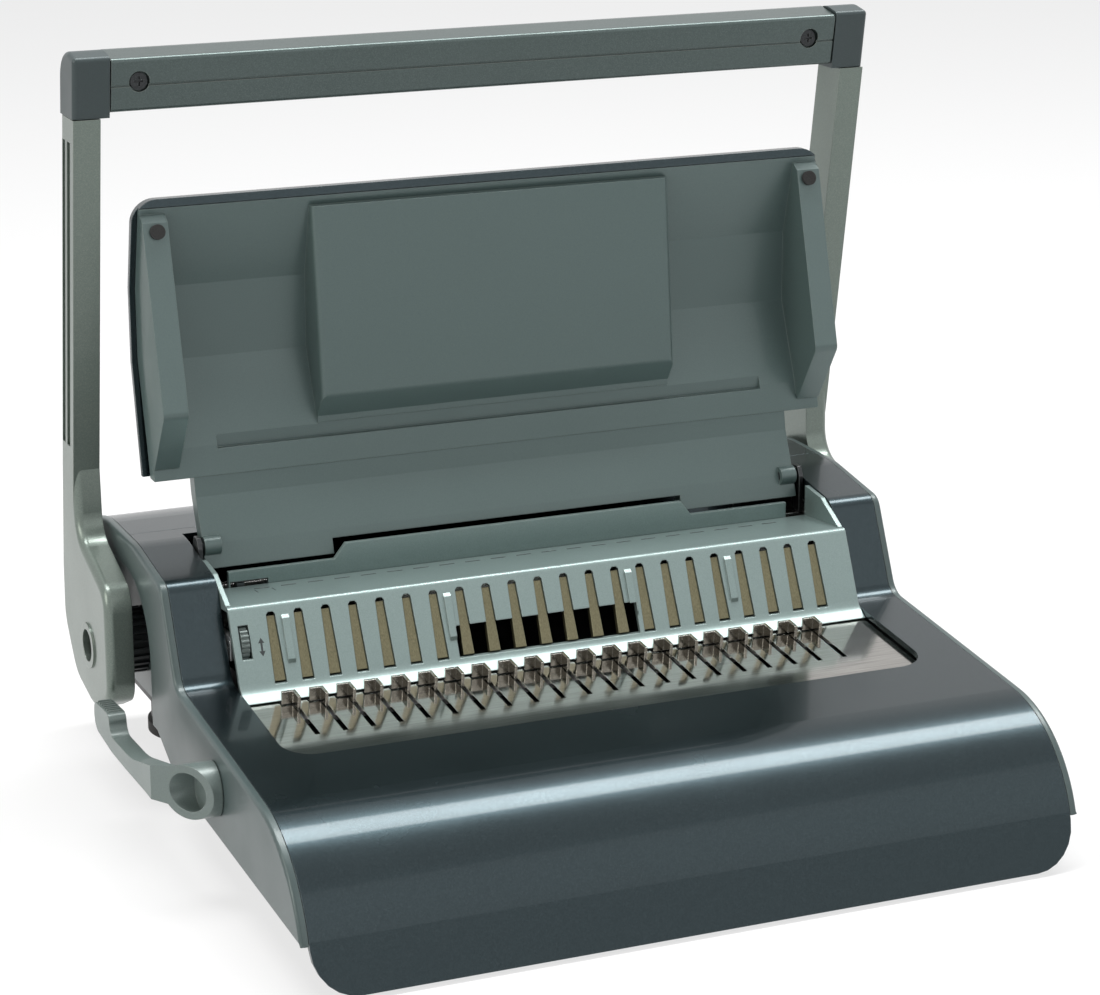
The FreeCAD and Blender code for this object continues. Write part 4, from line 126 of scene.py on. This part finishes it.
# Feet: four moulded rubber feet under the legs of the pan. Zinc plated screws through the floor of the
# pan hold the side frames.
rubber = finish("foot_rubber", ((0.3, (0.010, 0.010, 0.010)), (0.7, (0.024, 0.024, 0.023))),
                rough=(0.72, 0.9), grain=0.0006, relief=0.00008, edge=(0.05, 0.05, 0.05))
dress(rubber, "front_feet", "rear_feet")
zinc = finish("zinc_plate", ((0.3, (0.36, 0.37, 0.38)), (0.7, (0.52, 0.53, 0.53))),
              rough=(0.25, 0.42), grain=0.0016, relief=0.00002, edge=(0.66, 0.67, 0.67), metal=1.0)
dress(zinc, "sole_screws")


# Side frames and drive: blanked steel plates, bright zinc plated, with turned bushes, the punch drive
# shaft, its pinions and the punch bar. They stand inside the casing and show only from below.
dress(zinc, "left_side_frame", "right_side_frame", "punch_bar", "hook_plate")
machined = finish("machined_steel", ((0.3, (0.42, 0.42, 0.41)), (0.7, (0.58, 0.58, 0.56))),
                  rough=(0.18, 0.3), grain=0.0004, relief=0.00001,
                  edge=(0.7, 0.7, 0.69), metal=1.0, stretch=(0.05, 1, 1))
dress(machined, "drive_shaft", "drive_pinions", "lever_shaft", "lever_pinions", "guide_spindle",
      "punch_pins", "die_plate", "punch_guide", "paper_stop")
bushing = finish("bronze_bush", ((0.3, (0.30, 0.21, 0.10)), (0.7, (0.42, 0.31, 0.16))),
                 rough=(0.3, 0.42), grain=0.0009, relief=0.00002, edge=(0.5, 0.38, 0.2), metal=1.0)
dress(bushing, "shaft_bushes", "lever_bearings")
dress(zinc, "spindle_bracket", "tray_runners")


# Casing and rear hood: folded steel covers in dark slate metallic paint under a clear coat. Fine
# aluminium flake gives the soft white band over the rounded nose and the bends of the two pillars.
slate = finish("slate_flake_paint",
               ((0.0, (0.016, 0.027, 0.031)), (0.6, (0.020, 0.033, 0.038)),
                (0.97, (0.034, 0.050, 0.056))),
               rough=(0.23, 0.28), grain=0.00025, relief=0.000002,
               edge=(0.12, 0.15, 0.16), metal=0.9, coat=0.35, flake=True)
dress(slate, "top_casing", "rear_hood", "lid_shell")


# Side panels: injection moulded grey-green end covers with a fine spark texture, clipped over the
# ends of the casing with a thin shadow gap.
panel_grey = finish("side_panel_moulding", ((0.3, (0.052, 0.076, 0.075)), (0.7, (0.062, 0.089, 0.088))),
                    rough=(0.3, 0.4), grain=0.0005, relief=0.00003,
                    edge=(0.17, 0.21, 0.2), metal=0.2, coat=0.12)
dress(panel_grey, "left_side_panel", "right_side_panel")


# Comb bed: a satin silver moulding with the paper ledge, a leaning slotted face and four ribs. The rail
# behind the ledge has the same finish.
silver = finish("satin_silver", ((0.2, (0.190, 0.252, 0.244)), (0.8, (0.218, 0.284, 0.274))),
                rough=(0.3, 0.4), grain=0.0003, relief=0.000004,
                edge=(0.31, 0.36, 0.345), metal=0.45, coat=0.15, flake=True)
dress(silver, "comb_panel", "paper_rail")


# Bed marks: dark filled marks moulded into the ledge over the hooks, two thin paper marks in front of
# the first of them, and a plain double arrow printed beside the thumbwheel.
ink = finish("mark_ink", ((0.3, (0.020, 0.026, 0.027)), (0.7, (0.034, 0.042, 0.043))),
             rough=(0.45, 0.6), grain=0.0003, relief=0.00001, edge=(0.05, 0.06, 0.06))
bed_middle, bed_shift = 0.004225, -0.00155
lip_y, lip_z = 0.0045, 0.122
ledge_fall, face_lean = 0.0955, 0.4706
print_lift, print_thick = 0.00004, 0.0001


def inlaid(name, outlines, down):
    """Flat dark inlays with those outlines, each as thick as the vector down."""
    shape = bmesh.new()
    for outline in outlines:
        top = [shape.verts.new(corner) for corner in outline]
        foot = [shape.verts.new(Vector(corner) + down) for corner in outline]
        shape.faces.new(top)
        shape.faces.new(foot[::-1])
        for i in range(len(top)):
            shape.faces.new((top[i - 1], foot[i - 1], foot[i], top[i]))
    bmesh.ops.recalc_face_normals(shape, faces=shape.faces)
    mesh = bpy.data.meshes.new(name)
    shape.to_mesh(mesh)
    shape.free()
    mesh.materials.append(ink)
    piece = bpy.data.objects.new(name, mesh)
    bpy.context.scene.collection.objects.link(piece)
    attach(piece, "machine")


def on_ledge(x, y):
    """The point just over the sloping ledge at x from the middle of the bed and at depth y."""
    return (bed_middle + x, y + bed_shift, lip_z - ledge_fall * (y - lip_y) + print_lift)


def on_face(x, z):
    """The point just in front of the leaning face at x and at height z."""
    return (x, lip_y - (lip_z - z) * face_lean + bed_shift - print_lift, z)


mark_count, mark_pitch, mark_y = 21, 0.0142875, 0.0377
mark_floor, mark_fill = 0.11823, 0.00045
long, wide, cut = 0.0041, 0.00075, 0.0003
dash = ((-long, cut - wide), (cut - long, -wide), (long - cut, -wide), (long, cut - wide),
        (long, wide - cut), (long - cut, wide), (cut - long, wide), (-long, wide - cut))
first = -(mark_count - 1) / 2 * mark_pitch
inlaid("ledge_marks",
       [[(bed_middle + first + i * mark_pitch + x, mark_y + bed_shift + y, mark_floor + mark_fill)
         for x, y in dash] for i in range(mark_count)], Vector((0, 0, -mark_fill)))

tick_step, tick_half, tick_front, tick_rear = 0.0046, 0.00025, 0.0292, 0.0352
inlaid("paper_marks",
       [[on_ledge(first + side * tick_step - tick_half, tick_front),
         on_ledge(first + side * tick_step + tick_half, tick_front),
         on_ledge(first + side * tick_step + tick_half, tick_rear),
         on_ledge(first + side * tick_step - tick_half, tick_rear)] for side in (-1, 1)],
       Vector((0, 0, -print_thick)))

wheel_low, wheel_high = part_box("thumbwheel")
arrow_gap, arrow_tip, arrow_neck, arrow_barb, arrow_stem = 0.006, 0.0042, 0.0018, 0.0016, 0.0005
arrow_x, arrow_z = wheel_high[0] + arrow_gap, (wheel_low[2] + wheel_high[2]) / 2
arrow = ((0, arrow_tip), (-arrow_barb, arrow_neck), (-arrow_stem, arrow_neck), (-arrow_stem, -arrow_neck),
         (-arrow_barb, -arrow_neck), (0, -arrow_tip), (arrow_barb, -arrow_neck), (arrow_stem, -arrow_neck),
         (arrow_stem, arrow_neck), (arrow_barb, arrow_neck))
inlaid("wheel_arrow", [[on_face(arrow_x + x, arrow_z + z) for x, z in arrow]],
       Vector((0, print_thick, -print_thick / 2)))


# Comb tines: 22 tapered brass strips, dulled to olive and joined by a bar behind the slotted face. They
# stand just behind the face in its slots.
brass = finish("dull_brass", ((0.25, (0.100, 0.093, 0.054)), (0.75, (0.185, 0.170, 0.102))),
               rough=(0.3, 0.44), grain=0.0005, relief=0.00002,
               edge=(0.34, 0.34, 0.22), metal=0.75, stretch=(1, 1, 0.08))
dress(brass, "comb_tines")


# Deck plate and comb hooks: stainless steel polished along its length, blanked and bent, with 21
# slots that the chromed hooks come up through.
polished = finish("polished_steel", ((0.25, (0.27, 0.26, 0.245)), (0.75, (0.42, 0.41, 0.385))),
                  rough=(0.07, 0.13), grain=0.0009, relief=0.000006,
                  edge=(0.8, 0.81, 0.79), metal=1.0, stretch=(0.03, 1, 1))
dress(polished, "deck_plate")
chrome = finish("chrome_plate", ((0.25, (0.20, 0.19, 0.16)), (0.75, (0.42, 0.40, 0.36))),
                rough=(0.12, 0.24), grain=0.0012, relief=0.000008, edge=(0.86, 0.85, 0.82), metal=1.0)
dress(chrome, "comb_hooks")


# Handle: two fluted arms cast in light alloy, a pressed crossbar between them and moulded end caps,
# all in grey-green metallic paint. Ribbed black hubs sit on the shaft; blackened screws hold it.
bronze_grey = finish("handle_flake_paint",
                     ((0.0, (0.058, 0.080, 0.077)), (0.6, (0.067, 0.091, 0.088)),
                      (0.97, (0.090, 0.117, 0.112))),
                     rough=(0.3, 0.37), grain=0.0003, relief=0.000002,
                     edge=(0.27, 0.29, 0.26), metal=0.7, coat=0.25, flake=True)
dress(bronze_grey, "crossbar")
# The arms take a lighter copy of the handle's grey-green paint: the lightening is painted light for the
# left light falling on them.
lit_arm_paint = finish("arm_paint_painted_light",
                   ((0.0, (0.132, 0.164, 0.144)), (0.6, (0.148, 0.182, 0.160)),
                    (0.97, (0.178, 0.214, 0.190))),
                   rough=(0.3, 0.37), grain=0.0003, relief=0.000002,
                   edge=(0.3, 0.33, 0.29), metal=0.6, coat=0.25, flake=True)
dress(lit_arm_paint, "left_arm", "right_arm")
cap_black = finish("cap_moulding", ((0.3, (0.034, 0.049, 0.051)), (0.7, (0.044, 0.062, 0.064))),
                   rough=(0.34, 0.46), grain=0.0005, relief=0.00003, edge=(0.14, 0.17, 0.17), metal=0.3)
dress(cap_black, "left_end_cap", "right_end_cap")
hub_black = finish("hub_moulding", ((0.3, (0.014, 0.018, 0.019)), (0.7, (0.026, 0.032, 0.033))),
                   rough=(0.36, 0.5), grain=0.0005, relief=0.00004, edge=(0.07, 0.08, 0.08))
dress(hub_black, "left_hub", "right_hub")
blacked = finish("blackened_steel", ((0.3, (0.030, 0.032, 0.034)), (0.7, (0.055, 0.058, 0.06))),
                 rough=(0.26, 0.4), grain=0.0008, relief=0.00002, edge=(0.2, 0.21, 0.21), metal=0.9)
dress(blacked, "arm_screws", "crossbar_screws", "lid_hinge_brackets", "lid_hinge_pins")


# Lid: a grey-green moulded liner with two stowage pods and a raised block, snapped into the painted
# outer shell. Small black rubber bumpers meet the casing when it shuts.
moulded = finish("grey_green_moulding", ((0.3, (0.084, 0.124, 0.120)), (0.7, (0.098, 0.142, 0.137))),
                 rough=(0.3, 0.4), grain=0.0005, relief=0.00003,
                 edge=(0.22, 0.27, 0.255), metal=0.2, coat=0.12)
dress(moulded, "lid_liner")
dress(rubber, "lid_bumpers")


# Comb lever: a moulded grey-green finger lever with a ribbed thumb pad, keyed to the end of the lever
# shaft at the left side of the machine.
lever_grey = finish("lever_moulding", ((0.3, (0.125, 0.160, 0.152)), (0.7, (0.150, 0.188, 0.178))),
                    rough=(0.3, 0.4), grain=0.0006, relief=0.00003,
                    edge=(0.26, 0.3, 0.28), metal=0.2, coat=0.12)
dress(lever_grey, "comb_lever")


# Edge guide and thumbwheel: a knurled moulded wheel turns a threaded spindle, which shifts the dark
# moulded paper guide sideways.
dress(lever_grey, "thumbwheel")
guide_grey = finish("guide_moulding", ((0.3, (0.035, 0.045, 0.047)), (0.7, (0.055, 0.068, 0.07))),
                    rough=(0.36, 0.48), grain=0.0006, relief=0.00004, edge=(0.12, 0.14, 0.14))
dress(guide_grey, "edge_guide")


# Chip tray: a black moulded drawer for the punched chips. It runs on two rails over the base pan and
# slides out at the rear to be emptied.
tray_black = finish("tray_moulding", ((0.3, (0.012, 0.013, 0.014)), (0.7, (0.024, 0.026, 0.027))),
                    rough=(0.38, 0.52), grain=0.0007, relief=0.00005, edge=(0.06, 0.065, 0.065))
dress(tray_black, "chip_tray")


# Studio: a wide white table that fades into white surroundings and keeps the shadow. One long soft light
# hangs overhead, one stands at the left and a broad weak one in front.
table = bpy.data.meshes.new("table_top")
half, level, glow = 9.0, -0.0003, 0.72
table.from_pydata([(-half, -half, level), (half, -half, level), (half, half, level), (-half, half, level)],
                  [], [(0, 1, 2, 3)])
table_top = bpy.data.objects.new("table_top", table)
bpy.context.scene.collection.objects.link(table_top)


def seen_rays(tree):
    """1 for rays from the camera and for those mirrored or passed on, 0 for the rest."""
    rays = tree.nodes.new("ShaderNodeLightPath")
    total = rays.outputs["Is Camera Ray"]
    for kind in ("Is Glossy Ray", "Is Transmission Ray"):
        both = tree.nodes.new("ShaderNodeMath")
        both.operation = "MAXIMUM"
        tree.links.new(total, both.inputs[0])
        tree.links.new(rays.outputs[kind], both.inputs[1])
        total = both.outputs["Value"]
    return total


paper = bpy.data.materials.new("table_white")
paper.use_nodes = True
tree = paper.node_tree
matt = tree.nodes["Principled BSDF"]
matt.inputs["Base Color"].default_value = (0.9, 0.9, 0.9, 1)
matt.inputs["Roughness"].default_value = 0.9
matt.inputs["Specular IOR Level"].default_value = 0.0
lit = wired(tree, "Emission", Strength=1.0)
share = tree.nodes.new("ShaderNodeMath")
share.operation = "MULTIPLY"
share.inputs[1].default_value = glow
tree.links.new(seen_rays(tree), share.inputs[0])
both = wired(tree, "MixShader", Fac=share.outputs["Value"])
tree.links.new(matt.outputs["BSDF"], both.inputs[1])
tree.links.new(lit.outputs["Emission"], both.inputs[2])
tree.links.new(both.outputs["Shader"], tree.nodes["Material Output"].inputs["Surface"])
table.materials.append(paper)

world = bpy.context.scene.world or bpy.data.worlds.new("studio")
bpy.context.scene.world = world
world.use_nodes = True
tree = world.node_tree
tree.nodes.clear()
room = wired(tree, "Background", Color=(0.55, 0.56, 0.57, 1), Strength=0.5)
sheet = wired(tree, "Background", Color=(1, 1, 1, 1), Strength=1.0)
both = wired(tree, "MixShader", Fac=seen_rays(tree))
tree.links.new(room.outputs["Background"], both.inputs[1])
tree.links.new(sheet.outputs["Background"], both.inputs[2])
end = tree.nodes.new("ShaderNodeOutputWorld")
tree.links.new(both.outputs["Shader"], end.inputs["Surface"])


def softbox(name, place, aim, size, power, colour=(1, 1, 1)):
    """A rectangular soft light of that size at place, turned to the aim point."""
    lamp = bpy.data.lights.new(name, "AREA")
    lamp.shape = "RECTANGLE"
    lamp.size, lamp.size_y = size
    lamp.energy = power
    lamp.color = colour
    stand = bpy.data.objects.new(name, lamp)
    bpy.context.scene.collection.objects.link(stand)
    stand.location = place
    stand.rotation_euler = (Vector(aim) - Vector(place)).to_track_quat("-Z", "Y").to_euler()


softbox("overhead", (0.4, 0.32, 2.3), (0.4, -0.1, 0.1), (3.0, 0.62), 86)
softbox("left_window", (-2.2, -0.3, 1.1), (0, 0, 0.15), (1.0, 1.4), 17, (1.0, 0.96, 0.88))
softbox("front_fill", (1.0, -2.6, 1.6), (0, 0, 0.15), (3.2, 2.0), 9)


# Camera: from the left front and a little above, with a long lens, at the angle and in the frame of the
# photograph.
lens = bpy.data.cameras.new("view")
lens.sensor_fit = "HORIZONTAL"
lens.sensor_width = 36.0
lens.lens = 104.44
eye = bpy.data.objects.new("view", lens)
bpy.context.scene.collection.objects.link(eye)
eye.location = (-0.602017, -1.428039, 0.621516)
eye.rotation_euler = Vector((0.37434, 0.88231, -0.28532)).to_track_quat("-Z", "Y").to_euler()
bpy.context.scene.camera = eye
bpy.context.scene.view_settings.view_transform = "Standard"
